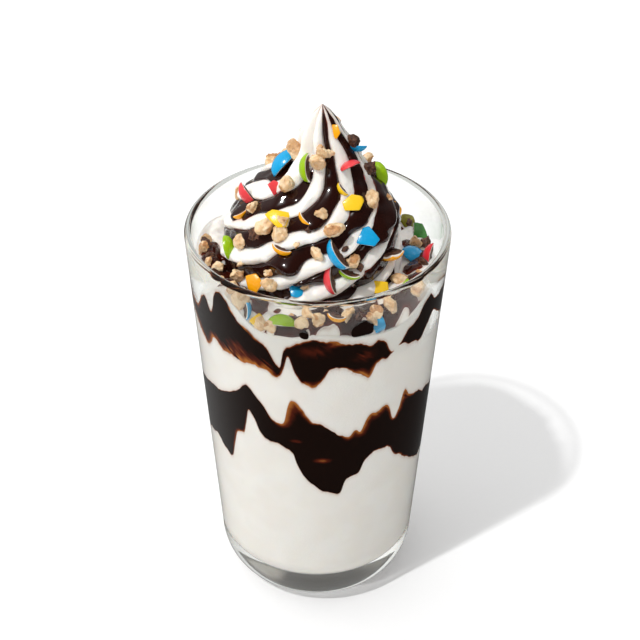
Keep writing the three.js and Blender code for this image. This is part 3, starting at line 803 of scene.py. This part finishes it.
def wander_at(angle, height):
    """The mean of the places listed, each counting less with distance."""
    across = angle_between(angle[..., None], RIDGE_WANDER[:, 0]) / WANDER_ANGLE
    up = (height[..., None] - RIDGE_WANDER[:, 1]) / WANDER_HEIGHT
    weight = np.exp(-(across**2) - up**2)
    return weight @ RIDGE_WANDER[:, 2] / (weight.sum(-1) + WANDER_REST)


def rope_at(angle, height):
    """0 in the middle of a rope and 1 halfway to the next."""
    along = angle - RIDGE_ANGLE - twist_at(height) - wander_at(angle, height)
    return np.abs(angle_between(RIDGES * along, 0)) / 180


def valley_depth(outline):
    return np.minimum(VALLEY_DEPTH, VALLEY_SHARE * outline)


def swirl_place(angle, height):
    """A point on the plain fluted cone, for what lies on it."""
    angle, height = np.asarray(angle, float), np.asarray(height, float)
    outline = outline_at(height)
    valley = 1 - np.cos(math.pi / 2 * rope_at(angle, height))
    return around(outline - valley_depth(outline) * valley, angle, height, lean_at(height))


# %% [markdown]
# The sauce ran down the valleys between the ropes, filled them a little over half, pooled where
# they level out and missed a few places. So it is a level in the valley: 0 is a bare valley and 1
# is one filled to the top of its ropes. Where the level lies above the ice cream there is sauce,
# with the steep rounded edge that surface tension makes.

# %% Where the sauce runs
SAUCE_LEVEL = 0.58
# Changes to the level: angle, height, width in degrees, height in millimetres and how much.
SAUCE_CHANGES = np.array([
    (-60, 184, 45, 9, -1.6), (-20, 191, 22, 5, -1.0), (-150, 186, 50, 8, -0.8),
    (-16, 152, 12, 3, 0.7), (-6, 165, 14, 4, 0.35), (10, 171, 12, 4, 0.3), (-55, 170, 14, 3, 0.3),
    (35, 166, 14, 5, 0.45), (62, 158, 12, 7, 0.5), (75, 176, 18, 8, 0.3), (20, 190, 25, 6, 0.3),
    (-75, 158, 10, 3, 0.3), (86, 158, 16, 8, 0.55), (-45, 168, 8, 3, 0.35), (40, 146, 10, 4, 0.4),
    (5, 143, 14, 3, -0.8), (30, 143, 14, 3, -0.6), (-20, 143, 8, 2.5, -0.8),
], float)


def sauce_level(angle, height, points):
    """The level: its usual value, slow random change and hills at the places listed."""
    across = angle_between(angle[..., None], SAUCE_CHANGES[:, 0]) / SAUCE_CHANGES[:, 2]
    up = (height[..., None] - SAUCE_CHANGES[:, 1]) / SAUCE_CHANGES[:, 3]
    change = np.exp(-(across**2) - up**2) @ SAUCE_CHANGES[:, 4]
    return SAUCE_LEVEL + change + 0.07 * wobble(points, 14, 32) + 0.04 * wobble(points, 6, 36)


# %% The swirl and its sauce
SWIRL_COLUMNS = 512
SWIRL_ROWS = 180
ROPE_WIDTH = 0.62
PEAK_CROWDING = 1.15
EDGE_STEEPNESS = 3.2
rise = np.linspace(0, 1, SWIRL_ROWS)[:, None]
swirl_height = SWIRL_BASE + (SWIRL_PEAK - SWIRL_BASE) * (1 - (1 - rise) ** PEAK_CROWDING)
swirl_turn = np.arange(SWIRL_COLUMNS) * 360 / SWIRL_COLUMNS
swirl_angle = swirl_turn + twist_at(swirl_height)
swirl_height = np.broadcast_to(swirl_height, swirl_angle.shape)
swirl_outline = outline_at(swirl_height)
swirl_lean = lean_at(swirl_height)
plain_cone = around(swirl_outline, swirl_angle, swirl_height, swirl_lean)
level = sauce_level(swirl_angle, swirl_height, plain_cone)
rope = rope_at(swirl_angle, swirl_height)
round_rope = 1 - np.sqrt(1 - np.minimum(rope / ROPE_WIDTH, 1) ** 2)
bare_rope = 1 - np.cos(math.pi / 2 * rope)
bare = 1 - smooth_step(0.0, 0.35, level)
dip = round_rope + (bare_rope - round_rope) * bare
depth = valley_depth(swirl_outline)
soften = smooth_step(-2, 6, swirl_outline)
relief = soften * (0.2 * wobble(plain_cone, 6, 33) + 0.05 * wobble(plain_cone, 1.8, 34))
relief = relief * (1 - 0.7 * smooth_step(174, 184, swirl_height))
ice_radius = np.maximum(swirl_outline - depth * dip + relief, 0)
over = dip - (1 - level) + 0.04 * wobble(plain_cone, 6, 31)
inside = np.maximum(over, 0) * swirl_outline / EDGE_STEEPNESS
outside = np.minimum(over, 0) * swirl_outline / EDGE_STEEPNESS
full = np.maximum(depth * (dip - 1 + level), 0) + 0.4 + 0.5 * (1 - np.exp(-inside / 1.6))
still = (full - relief + 0.15 * wobble(plain_cone, 9, 35)) * (1 - np.exp(-inside / 0.4))
film = np.where(over > 0, soften * still, 0.6 * np.tanh(outside / 0.3))


def swirl_skin(name, radius, material, fields):
    """The grid of the cone with its own radii, closed at the axis below and at the peak."""
    points = around(radius, swirl_angle, swirl_height, swirl_lean)
    axis = around(0.0, swirl_angle[:1], swirl_height[:1], swirl_lean[:1])
    points = np.concatenate([axis, points])
    fields = {field: np.concatenate([grid[:1], grid]) for field, grid in fields.items()}
    return make_skins(name, points, material, fields)


stain = 0.7 * np.exp(-np.abs(inside + outside) / 0.3) * (over < 0.02)
swirl_ice = swirl_skin("swirl_ice_cream", ice_radius, ICE_CREAM, {"stain": stain})
sauce_radius = np.maximum(ice_radius + film, 0)
swirl_skin("swirl_sauce", sauce_radius, POURED_SAUCE, {"film": film})
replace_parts(swirl_ice, "swirl")

# %% [markdown]
# ## Chopped peanuts
#
# A chopped peanut has a few flat cuts, some pale and some toasted. A box with moved corners shows
# too few. Here each nut is the space inside nine random planes, as a star-shaped form: seen from
# its middle, the surface lies where the nearest plane is met. Adding the planes' inverse
# distances at a high power, instead of taking the nearest, rounds the edges. All nuts are worked
# out at once and share one mesh.

# %% Star-shaped pieces
def ball_grid(rows, columns):
    """Directions to all sides, from the south pole up."""
    share = np.linspace(-1, 1, rows)[:, None]
    rise = math.pi / 2 * (0.65 * share + 0.35 * share**3)
    turn = np.arange(columns) * 2 * math.pi / columns
    level = np.cos(rise)
    parts = (level * np.cos(turn), level * np.sin(turn), np.sin(rise) + 0 * turn)
    return np.stack(np.broadcast_arrays(*parts), -1)


def planes_met(ways, normals, distances, power):
    """For each way, each plane's inverse distance to a power: [piece, row, column, plane]."""
    facing = np.einsum("rcx,ipx->ircp", ways, normals)
    return (np.maximum(facing, 0) / distances[:, None, None]) ** power


def unit(vectors):
    return vectors / np.linalg.norm(vectors, axis=-1, keepdims=True)


def pressed(points, past=-0.15):
    """Points that would lie past the inside of the glass are pressed flat against it."""
    distance = np.hypot(points[..., 0], points[..., 1])
    limit = np.where(points[..., 2] < GLASS_HEIGHT, inner_radius(points[..., 2]) + past, np.inf)
    scale = np.minimum(1, limit / np.maximum(distance, 1))
    return points * np.stack([scale, scale, np.ones_like(scale)], -1)


def outward_frame(angle, lean):
    """Three directions for each piece: to the right, up along the food and out of it."""
    flat = around(1.0, angle, 0.0)
    out = unit(flat + np.asarray(lean)[..., None] * (0, 0, 1))
    right = around(1.0, np.asarray(angle) + 90, 0.0)
    return np.stack([right, np.cross(out, right), out], -2)


def behind(places):
    """Most of the places in front, mirrored to the back and moved up or down a little."""
    kept = [place for i, place in enumerate(places) if abs(place[0]) < 62 and i % 3 > 0]
    rises = [2 * math.cos(math.radians(100 * i)) for i in range(len(kept))]
    moved = zip(kept, rises)
    return [(180 - angle, height + rise, *kind) for (angle, height, *kind), rise in moved]


# %% Chopped peanuts
# Angle, height and size.
SWIRL_NUTS = [
    (-85, 178.2, 7.4), (-7, 183.1, 4.6), (10, 181.6, 3.2), (-15, 180.2, 6.2), (-44, 172.5, 5.6),
    (56, 166.8, 5.6), (83, 162, 5), (-65, 161.6, 5.4), (-40, 161.5, 6.2), (-28, 163.9, 5),
    (-27, 160, 6.2), (-57, 152.4, 5.6), (-52, 141.6, 5.8), (-28, 147.6, 4.2), (-25, 145.1, 5.4),
    (-5, 144.3, 4.4), (3, 166, 5), (13, 163.4, 6.2), (4, 155.5, 5), (29, 151.4, 5.8),
    (-50, 147, 2.4), (18, 161, 2.2), (-12, 159, 2.4), (40, 154, 2.2), (66, 163, 2.4),
]
# Angle, radius and size.
RING_NUTS = [
    (-98, 38.1, 4.4), (-88, 38.3, 4.8), (-77, 36.9, 3.6), (-73, 34.3, 4.4), (60, 30.5, 5.2),
    (103, 33.6, 5.4), (-42, 39.5, 4.6), (-37, 39, 5.6), (-26, 40.2, 4.6), (-21, 40.2, 5.2),
    (-4, 36.2, 5), (-7, 39, 5), (0, 39, 5), (15, 36.4, 5.4), (26, 38.4, 4.8), (30, 36.4, 5),
    (39, 36.4, 4.8), (53, 39.4, 5.4), (133, 36.5, 5), (146, 36, 5.5), (206, 37, 5), (228, 36, 5.4),
    (-60, 36.5, 2.2), (4, 35.5, 2.4), (68, 36, 2.2), (-14, 35, 2.2),
]
NUT_PLANES = 9
NUT_POWER = 40


def make_peanut():
    """Pale where it was cut and toasted brown on its outside, with fine crumbly grain."""
    finish = Finish("peanut")
    tone = finish.field("tone")
    grain = finish.noise(0.7, 4.0)
    blotch = finish.noise(2.2, 3.0)
    pale = finish.blend(rgb(0.88, 0.67, 0.43), rgb(0.76, 0.50, 0.26), blotch.between(0.42, 0.6))
    toasted = finish.blend(rgb(0.36, 0.14, 0.04), rgb(0.62, 0.30, 0.10), grain.between(0.3, 0.7))
    return finish.principled({
        "Base Color": finish.blend(pale, toasted, tone.between(0.5, 0.95) * 0.9),
        "Roughness": 0.42 + grain * 0.2,
        "Normal": finish.bump(grain * 0.6 + blotch * 0.4, 0.35),
        "Subsurface Weight": 0.15,
        "Subsurface Radius": (1.0, 0.6, 0.3),
        "Subsurface Scale": 0.8 * MM,
    })


def nut_skins(name, centres, frames, sizes, material, seed):
    """Blocks inside random planes. Each cut gets its own tone."""
    random = np.random.default_rng(seed)
    count = len(sizes)
    ways = ball_grid(30, 42)
    normals = unit(random.normal(size=(count, NUT_PLANES, 3)))
    distances = random.uniform(0.55, 1.0, (count, NUT_PLANES))
    met = planes_met(ways, normals, distances, NUT_POWER)
    reach = (met.sum(-1) + 1) ** (-1 / NUT_POWER)
    tones = random.uniform(0, 1, (count, NUT_PLANES))[:, None, None]
    tone = (met * tones).sum(-1) / (met.sum(-1) + 1e-6)
    hollow_way = unit(random.normal(size=(count, 3)))[:, None, None]
    hollow = np.exp((np.sum(ways * hollow_way, -1) - 1) / 0.1)
    hollow = hollow * random.uniform(0, 0.4, (count, 1, 1))
    stretch = sizes[:, None] / 2 * random.uniform((1.1, 0.8, 0.7), (1.35, 1.05, 0.9), (count, 3))
    local = (reach * (1 - hollow))[..., None] * ways * stretch[:, None, None]
    seeds = np.arange(3) + seed
    bumps = [wobble(local, 1.7, one) + 0.5 * wobble(local, 0.7, one) for one in seeds]
    local += 0.1 * np.stack(bumps, -1)
    turned = unit(random.normal(size=(count, 3)) * (1, 1, 0.6))
    aside = unit(np.cross(turned, random.normal(size=(count, 3))))
    own = np.stack([aside, np.cross(turned, aside), turned], -2)
    points = np.einsum("ircx,ixy,iyz->ircz", local, own, frames) + centres[:, None, None]
    return make_skins(name, pressed(points), material, {"tone": np.clip(tone + hollow, 0, 1)})


def nuts_laid(name, swirl_nuts, ring_nuts, lift, material, seed):
    """Nuts on the swirl and on the ring, their middles lifted out of the food by a share of their
    size."""
    swirl_nuts, ring_nuts = np.array(swirl_nuts, float), np.array(ring_nuts, float)
    on_swirl = swirl_place(swirl_nuts[:, 0], swirl_nuts[:, 1])
    ring_angle, ring_out = ring_nuts[:, 0], ring_nuts[:, 1]
    on_ring = around(ring_out, ring_angle, ring_height(ring_angle, ring_out))
    every = np.concatenate([swirl_nuts, ring_nuts])
    frames = outward_frame(every[:, 0], np.repeat([0.7, 1.2], [len(swirl_nuts), len(ring_nuts)]))
    centres = np.concatenate([on_swirl, on_ring]) + frames[:, 2] * lift * every[:, 2:]
    return nut_skins(name, centres, frames, every[:, 2], material, seed)


swirl_nuts = [*SWIRL_NUTS, *behind(SWIRL_NUTS)]
nuts_laid("chopped_peanuts", swirl_nuts, RING_NUTS, 0.25, make_peanut(), 42)

# %% [markdown]
# ## Broken candy
#
# Each candy was a chocolate lens in a thin white layer under a bright sugar shell, and a broken
# one shows all three. Three shells inside each other would be heavy and leave gaps. One closed
# skin is enough, if each point knows how deep below the dome it lies: the finish picks shell,
# white or chocolate by it.

# %% Candy colours
def paint(red, green, blue):
    """A colour given as it is shown on a screen, from 0 to 255, as the light it gives back."""
    shown = np.array([red, green, blue]) / 255
    return np.where(shown > 0.04045, ((shown + 0.055) / 1.055) ** 2.4, shown / 12.92)


SHELLS = {
    "blue": paint(0, 160, 216),
    "green": paint(150, 190, 0),
    "pink": paint(230, 66, 72),
    "red": paint(215, 40, 50),
    "orange": paint(252, 170, 5),
    "yellow": paint(252, 205, 30),
    "dark_green": paint(50, 120, 35),
    "olive": paint(125, 120, 20),
}


def make_candy():
    """The finish by depth below the dome: shell, then white, then chocolate."""
    finish = Finish("candy")
    under = finish.field("under")
    ragged_depth = under + (finish.noise(0.8, 3.0) - 0.5) * 0.16
    speckle = finish.noise(0.9, 3.0)
    worn = speckle.between(0.68, 0.8) * 0.1
    shell = finish.blend(finish.field("shell", colour=True), rgb(0.9, 0.9, 0.88), worn)
    dark, pale = rgb(0.055, 0.018, 0.008), rgb(0.13, 0.05, 0.02)
    chocolate = finish.blend(dark, pale, speckle.between(0.4, 0.65))
    inside = finish.blend(rgb(0.85, 0.80, 0.70), chocolate, ragged_depth.between(0.5, 0.62))
    broken = ragged_depth.between(0.2, 0.26)
    return finish.principled({
        "Base Color": finish.blend(shell, inside, broken),
        "Roughness": 0.24 + broken * 0.3,
        "Normal": finish.bump(speckle, 0.12),
        "Coat Weight": 0.3 - broken * 0.3,
        "Coat Roughness": 0.08,
    })


# %% [markdown]
# There are three shapes of piece: a half is a dome with one broad break, a slice is a wedge like
# one of an orange, and a chip is a thin bit of shell with breaks all round. Each is turned as the
# photographer sees it, from the front and above: by a turn, counted from the right towards up,
# and by how far its dome tips away from the viewer.

# %% Where the candy lies
# Angle, height, shape, length, turn, tip and colour.
SWIRL_CANDY = [
    (-90, 173.9, "slice", 12.6, 132, 44, "blue"), (-36, 177, "slice", 10, 180, 68, "green"),
    (43, 188.8, "chip", 4.4, 180, 20, "orange"), (76, 180.9, "half", 6.4, 268, 88, "blue"),
    (38, 178.3, "half", 7.6, 120, 84, "pink"), (62, 171.4, "chip", 7.4, 10, 48, "pink"),
    (104, 166, "slice", 10.4, 10, 36, "green"), (86, 157, "chip", 7, 0, 40, "orange"),
    (-82, 163.1, "slice", 9.4, 215, 52, "pink"), (-58, 170.3, "chip", 4.2, 20, 15, "pink"),
    (-70, 159.2, "slice", 6, 300, 60, "orange"), (-32, 164.9, "chip", 6.4, 100, 12, "yellow"),
    (-9, 164, "slice", 9.4, 222, 76, "orange"), (25, 172, "slice", 5.4, 225, 65, "yellow"),
    (31, 168.7, "chip", 7, 90, 6, "yellow"), (-66, 148.6, "slice", 8.6, 5, 24, "green"),
    (-21, 156.7, "slice", 7, 250, 74, "orange"), (40, 158.6, "chip", 6.8, 60, 12, "blue"),
    (15, 155.8, "slice", 11.6, 208, 70, "blue"), (63, 146.7, "half", 9.8, 275, 118, "orange"),
    (12, 146.8, "slice", 10.4, 192, 66, "pink"), (24, 148.4, "slice", 8.4, 252, 88, "green"),
    (-36, 143.7, "chip", 6.2, 180, 15, "orange"), (-10, 142.2, "chip", 4.6, 90, 15, "blue"),
    (46, 139.6, "chip", 6, 0, 10, "yellow"),
]
# Angle, radius, shape, length, turn, tip and colour.
RING_CANDY = [
    (-16, 38.5, "slice", 10, 82, 42, "green"), (-33, 39.5, "slice", 7, 0, 80, "blue"),
    (-28, 40, "chip", 5, 0, 20, "yellow"), (9, 38.6, "slice", 6.4, 262, 75, "orange"),
    (29, 40, "chip", 5.4, 30, 15, "blue"), (52, 36.5, "chip", 5, 0, 20, "green"),
    (92, 32, "half", 9, 70, 55, "blue"), (86, 36.8, "slice", 9, 165, 62, "red"),
    (125, 38.7, "half", 6.6, 20, 30, "olive"), (114, 39, "chip", 8, 60, 25, "dark_green"),
    (150, 37, "half", 7.6, 120, 60, "pink"), (212, 37, "half", 7.6, 90, 50, "yellow"),
]
CANDY_POWER = 60
CANDY_LIFT = 0.14


def seen_frame(count, behind_count):
    """The viewer's right, up and towards-the-viewer, and the same turned round for those behind."""
    flat, steep = math.cos(ELEVATION), math.sin(ELEVATION)
    front = np.array([(1, 0, 0), (0, steep, flat), (0, -flat, steep)], float)
    back = front * (-1, -1, 1)
    return np.stack([front] * count + [back] * behind_count)


def dome_frame(frames, turn, tip):
    """The frame of each piece: across its dome, along its length and out of its dome."""
    turn, tip = radians(turn)[:, None], radians(tip)[:, None]
    right, up, out = frames[:, 0], frames[:, 1], frames[:, 2]
    dome = np.cos(tip) * out + np.sin(tip) * (np.cos(turn) * right + np.sin(turn) * up)
    along = np.cos(turn) * up - np.sin(turn) * right
    return np.stack([np.cross(along, dome), along, dome], -2)


# %% Broken candy
def candy_form(shape, random):
    """Half-axes of the ball, how deep its middle lies, and the breaks: normals and distances, all
    as shares of the length."""
    tilt = random.uniform(-0.15, 0.15, 2)
    turn = math.radians(random.uniform(0, 72)) + np.arange(5) * 2 * math.pi / 5
    turn = turn + random.uniform(-0.45, 0.45, 5)
    sides = np.stack([np.cos(turn), np.sin(turn), random.uniform(-0.5, 0.1, 5)], -1)
    if shape == "half":
        breaks = [(*tilt, -1), *sides]
        return (0.50, 0.50, 0.38), 0.18, breaks, [0.10, 0.33, *random.uniform(0.38, 0.6, 4)]
    if shape == "slice":
        breaks = [(0.77, tilt[0], -0.64), (-0.77, tilt[1], -0.64), (tilt[0], 1, 0.2), *sides[:3]]
        return (0.38, 0.50, 0.38), 0.20, breaks, [0.10, 0.12, 0.42, *random.uniform(0.4, 0.7, 3)]
    return (1.1, 1.1, 0.70), 0.60, [(*tilt, -1), *sides], [0.09, *random.uniform(0.3, 0.52, 5)]


def candy_skins(name, centres, frames, shapes, lengths, colours, seed):
    """Parts of a flattened ball, each cut out by its breaks. The depth below the ball's surface
    goes with each point, so that the finish can find the shell, the white and the chocolate."""
    random = np.random.default_rng(seed)
    forms = [candy_form(shape, random) for shape in shapes]
    axes, sunk, normals, distances = (np.array(column, float) for column in zip(*forms))
    axes = axes * lengths[:, None]
    ways = ball_grid(38, 52)
    middle = np.stack([0 * sunk, 0 * sunk, -sunk * lengths], -1) / axes
    scaled = ways / axes[:, None, None]
    a = (scaled**2).sum(-1)
    b = (scaled * middle[:, None, None]).sum(-1)
    c = (middle**2).sum(-1)[:, None, None] - 1
    ball = (b + np.sqrt(b * b - a * c)) / a
    met = planes_met(ways, unit(normals), distances * lengths[:, None], CANDY_POWER)
    reach = (met.sum(-1) + ball**-CANDY_POWER) ** (-1 / CANDY_POWER)
    local = reach[..., None] * ways
    within = np.linalg.norm(local / axes[:, None, None] - middle[:, None, None], axis=-1)
    under = (1 - within) * axes.min(-1)[:, None, None]
    rough = smooth_step(0.5, 1.2, under) * 0.05 * wobble(local, 1.3, seed)
    local = local * (1 + rough)[..., None]
    points = np.einsum("ircx,ixy->ircy", local, frames) + centres[:, None, None]
    shell = np.broadcast_to(colours[:, None, None], points.shape)
    fields = {"under": under, "shell": shell}
    return make_skins(name, pressed(points), make_candy(), fields)


def columns_of(rows):
    """The columns of a list of rows as arrays."""
    return [np.array(column) for column in zip(*rows)]


behind_candy = behind(SWIRL_CANDY)
angle, height, *_ = columns_of([*SWIRL_CANDY, *behind_candy])
on_swirl = swirl_place(angle, height)
ring_angle, radius, *_ = columns_of(RING_CANDY)
on_ring = around(radius, ring_angle, ring_height(ring_angle, radius))
every_candy = [*SWIRL_CANDY, *behind_candy, *RING_CANDY]
angle, _, shapes, lengths, turn, tip, shell_names = columns_of(every_candy)
lengths = lengths.astype(float)
out = outward_frame(angle, np.repeat([0.6, 1.0], [len(on_swirl), len(on_ring)]))[:, 2]
centres = np.concatenate([on_swirl, on_ring]) + CANDY_LIFT * lengths[:, None] * out
ring_behind = sum(place[0] > 130 for place in RING_CANDY)
on_swirl_seen = seen_frame(len(SWIRL_CANDY), len(behind_candy))
on_ring_seen = seen_frame(len(RING_CANDY) - ring_behind, ring_behind)
views = np.concatenate([on_swirl_seen, on_ring_seen])
colours = np.array([SHELLS[name] for name in shell_names])
candy_skins("broken_candy", centres, dome_frame(views, turn, tip), shapes, lengths, colours, 51)

# %% [markdown]
# Breaking the candy also made crumbs of its chocolate, and larger lumps that lost their shell.
# They take the same random cuts as the nuts.

# %% Crumbs of chocolate
# Angle, height and size, then angle, radius and size.
SWIRL_CRUMBS = [
    (76, 183.2, 5.4), (80, 173.5, 5), (96, 168, 4.4), (-48, 156.3, 6.4), (32, 149.8, 3.6),
    (-84, 158, 4), (-6, 163, 3), (-66, 160.6, 3), (22, 157, 2.6), (50, 157, 2.2), (-18, 150, 2.4),
    (-160, 165, 4), (160, 152, 4), (-140, 150, 3),
]
RING_CRUMBS = [
    (-92, 37, 4.6), (-82, 36, 4), (102, 37.5, 4.4), (124, 38.5, 3), (80, 36, 3.6), (20, 38, 2.4),
    (200, 36, 3),
]


def make_chocolate():
    """Rough broken chocolate: brown, paler on the bumps of its grain."""
    finish = Finish("chocolate")
    grain = finish.noise(0.8, 4.0)
    dark, pale = rgb(0.045, 0.014, 0.007), rgb(0.16, 0.062, 0.028)
    return finish.principled({
        "Base Color": finish.blend(dark, pale, grain.between(0.38, 0.66)),
        "Roughness": 0.35 + grain * 0.25,
        "Normal": finish.bump(grain, 0.5),
    })


nuts_laid("chocolate_crumbs", SWIRL_CRUMBS, RING_CRUMBS, 0.2, make_chocolate(), 62)

# %% [markdown]
# A few drops of sauce got caught between the ring and the glass, where they are pressed flat.

# %% Drops of sauce against the glass
# Angle, height, half the width and half the height.
DROPS = np.array([
    (20.5, 136.8, 4.0, 2.9), (-5.5, 135.6, 1.8, 1.5), (168, 137, 3.0, 1.9),
])
DROP_DEPTH = 1.3


def sauce_drops():
    """Balls stretched along the glass, with a slow wave, whose outer half is pressed against it."""
    angle, height, wide, tall = DROPS.T
    frames = outward_frame(angle, 0 * angle)
    ways = ball_grid(30, 42)
    local = ways * np.stack([wide, tall, 0 * wide + DROP_DEPTH], -1)[:, None, None]
    middle = around(inner_radius(height), angle, height)[:, None, None]
    local = local * (1 + 0.14 * wobble(local + middle, 5, 71))[..., None]
    points = np.einsum("ircx,ixy->ircy", local, frames) + middle
    points = pressed(points, SAUCE_INTO_WALL)
    film = np.full(points.shape[:3], 9.0)
    make_skins("sauce_drops", points, WALL_SAUCE, {"film": film})


sauce_drops()

# %% [markdown]
# ## Camera, floor and light
#
# The camera looks down at 37 degrees from half a metre away. The studio is white: a white table,
# white walls behind and to the left, and one lamp from the front left that draws the soft-edged
# shadow. A darker room in front and to the right gives glass and sauce their dark tones, so the
# world's brightness depends on direction.

# %% Camera
DISTANCE = 0.5
AIM_SIDEWAYS = 0.00093
AIM_HEIGHT = 0.1097
ROLL = math.radians(0.34)
FOCAL_PIXELS = 1412
PICTURE_PIXELS = 640
camera_data = bpy.data.cameras.new("camera")
camera_data.sensor_width = 36
camera_data.lens = camera_data.sensor_width * FOCAL_PIXELS / PICTURE_PIXELS
camera = put_in_scene("camera", camera_data)
camera_height = AIM_HEIGHT + DISTANCE * math.sin(ELEVATION)
place = Matrix.Translation((AIM_SIDEWAYS, -DISTANCE * math.cos(ELEVATION), camera_height))
tilt = Matrix.Rotation(math.pi / 2 - ELEVATION, 4, "X")
roll = Matrix.Rotation(ROLL, 4, "Z")
camera.matrix_world = place @ tilt @ roll
bpy.context.scene.camera = camera

# %% Floor
FLOOR_HALF = 3.0


def make_floor():
    """White paper with a faint grain."""
    finish = Finish("white_table")
    grain = finish.noise(1.5, 3.0)
    white = finish.blend(rgb(0.88, 0.88, 0.88), rgb(0.9, 0.9, 0.9), grain)
    return finish.principled({"Base Color": white, "Roughness": 0.9, "Specular IOR Level": 0.1})


corners = FLOOR_HALF * np.array([(-1, -1, 0), (1, -1, 0), (1, 1, 0), (-1, 1, 0)])
floor_mesh = bpy.data.meshes.new("floor")
floor_mesh.from_pydata(corners, [], [(0, 1, 2, 3)])
floor_mesh.materials.append(make_floor())
floor = put_in_scene("floor", floor_mesh)
floor.visible_glossy = False

# %% Light
world = bpy.data.worlds.new("studio")
bpy.context.scene.world = world


def lobes(finish, base, places):
    """A brightness by direction: a base and soft lobes, each a power of the cosine from its
    middle."""
    way = finish.node("TexCoord", out=0)
    light = base
    for x, y, z, power, strength in places:
        towards = {0: way, 1: tuple(np.array([x, y, z]) / math.hypot(x, y, z))}
        facing = finish.node("VectorMath", {"operation": "DOT_PRODUCT"}, towards, out=1)
        light = facing.reckon("MAXIMUM", facing, 0.0) ** power * strength + light
    return finish.node("Background", {}, {"Color": rgb(1, 1, 1), "Strength": light})


def make_studio():
    """Soft light from above, left and behind. Reflections see a darker room with a few soft boxes,
    also those on food inside the glass. Other rays that have come through the glass, or were caught
    in its rim, see white walls, and the camera sees plain white."""
    finish = Finish("studio", world)
    left, low_left, back = (-0.8, 0.35, 0.45), (-0.8, 0.4, -0.5), (0.1, 0.9, 0.4)
    up, lamp, window = (0, 0, 1), (-0.36, -0.42, 0.83), (0.3, 0.2, 0.93)
    right, front, low_front = (0.9, -0.4, 0.2), (0.1, -1, 0.2), (0.05, -0.9, -0.45)
    soft = lobes(finish, 0.2, [
        (*up, 1, 0.58), (*left, 2, 0.75), (*back, 2, 0.3), (*low_left, 2, 0.3), (*front, 2, 0.19),
        (*right, 2, -0.15),
    ])
    seen = lobes(finish, 0.05, [
        (*left, 5, 0.4), (*low_left, 4, 0.25), (*back, 3, 0.4), (*lamp, 150, 5.0), (*lamp, 25, 0.7),
        (*window, 40, 1.6),
    ])
    walls = lobes(finish, 0.9, [
        (*left, 2, 0.3), (*right, 3, -0.5), (*front, 3, -0.2), (*low_front, 3, -0.6),
    ])
    mirrored = finish.ray("Glossy Depth")
    inside = mirrored.above(0.5) * finish.ray("Transmission Depth").above(2.5)
    caught = mirrored.above(MIRRORED_TIMES) * 0.8
    through = (finish.ray("Is Transmission Ray") * (1 - inside)).at_least(caught)
    white = lobes(finish, 1.0, [])
    mixed = soft
    for share, sky in (
        (finish.ray("Is Glossy Ray").at_least(inside), seen),
        (through, walls),
        (finish.ray("Is Camera Ray"), white),
    ):
        mixed = finish.node("MixShader", {}, {0: share, 1: mixed, 2: sky})
    finish.surface(mixed, "World")


make_studio()
key_data = bpy.data.lights.new("key", "SUN")
key_data.energy = 1.6
key_data.angle = math.radians(2)
key = put_in_scene("key", key_data)
KEY_FROM = (-0.400, -0.342, 0.850)
key.matrix_world = Vector(KEY_FROM).to_track_quat("Z", "Y").to_matrix().to_4x4()
bpy.context.scene.view_settings.view_transform = "Standard"
# Light that runs along inside the rim needs many turns, or the rim goes black.
cycles = bpy.context.scene.cycles
cycles.max_bounces = cycles.transmission_bounces = 24
cycles.glossy_bounces = 16
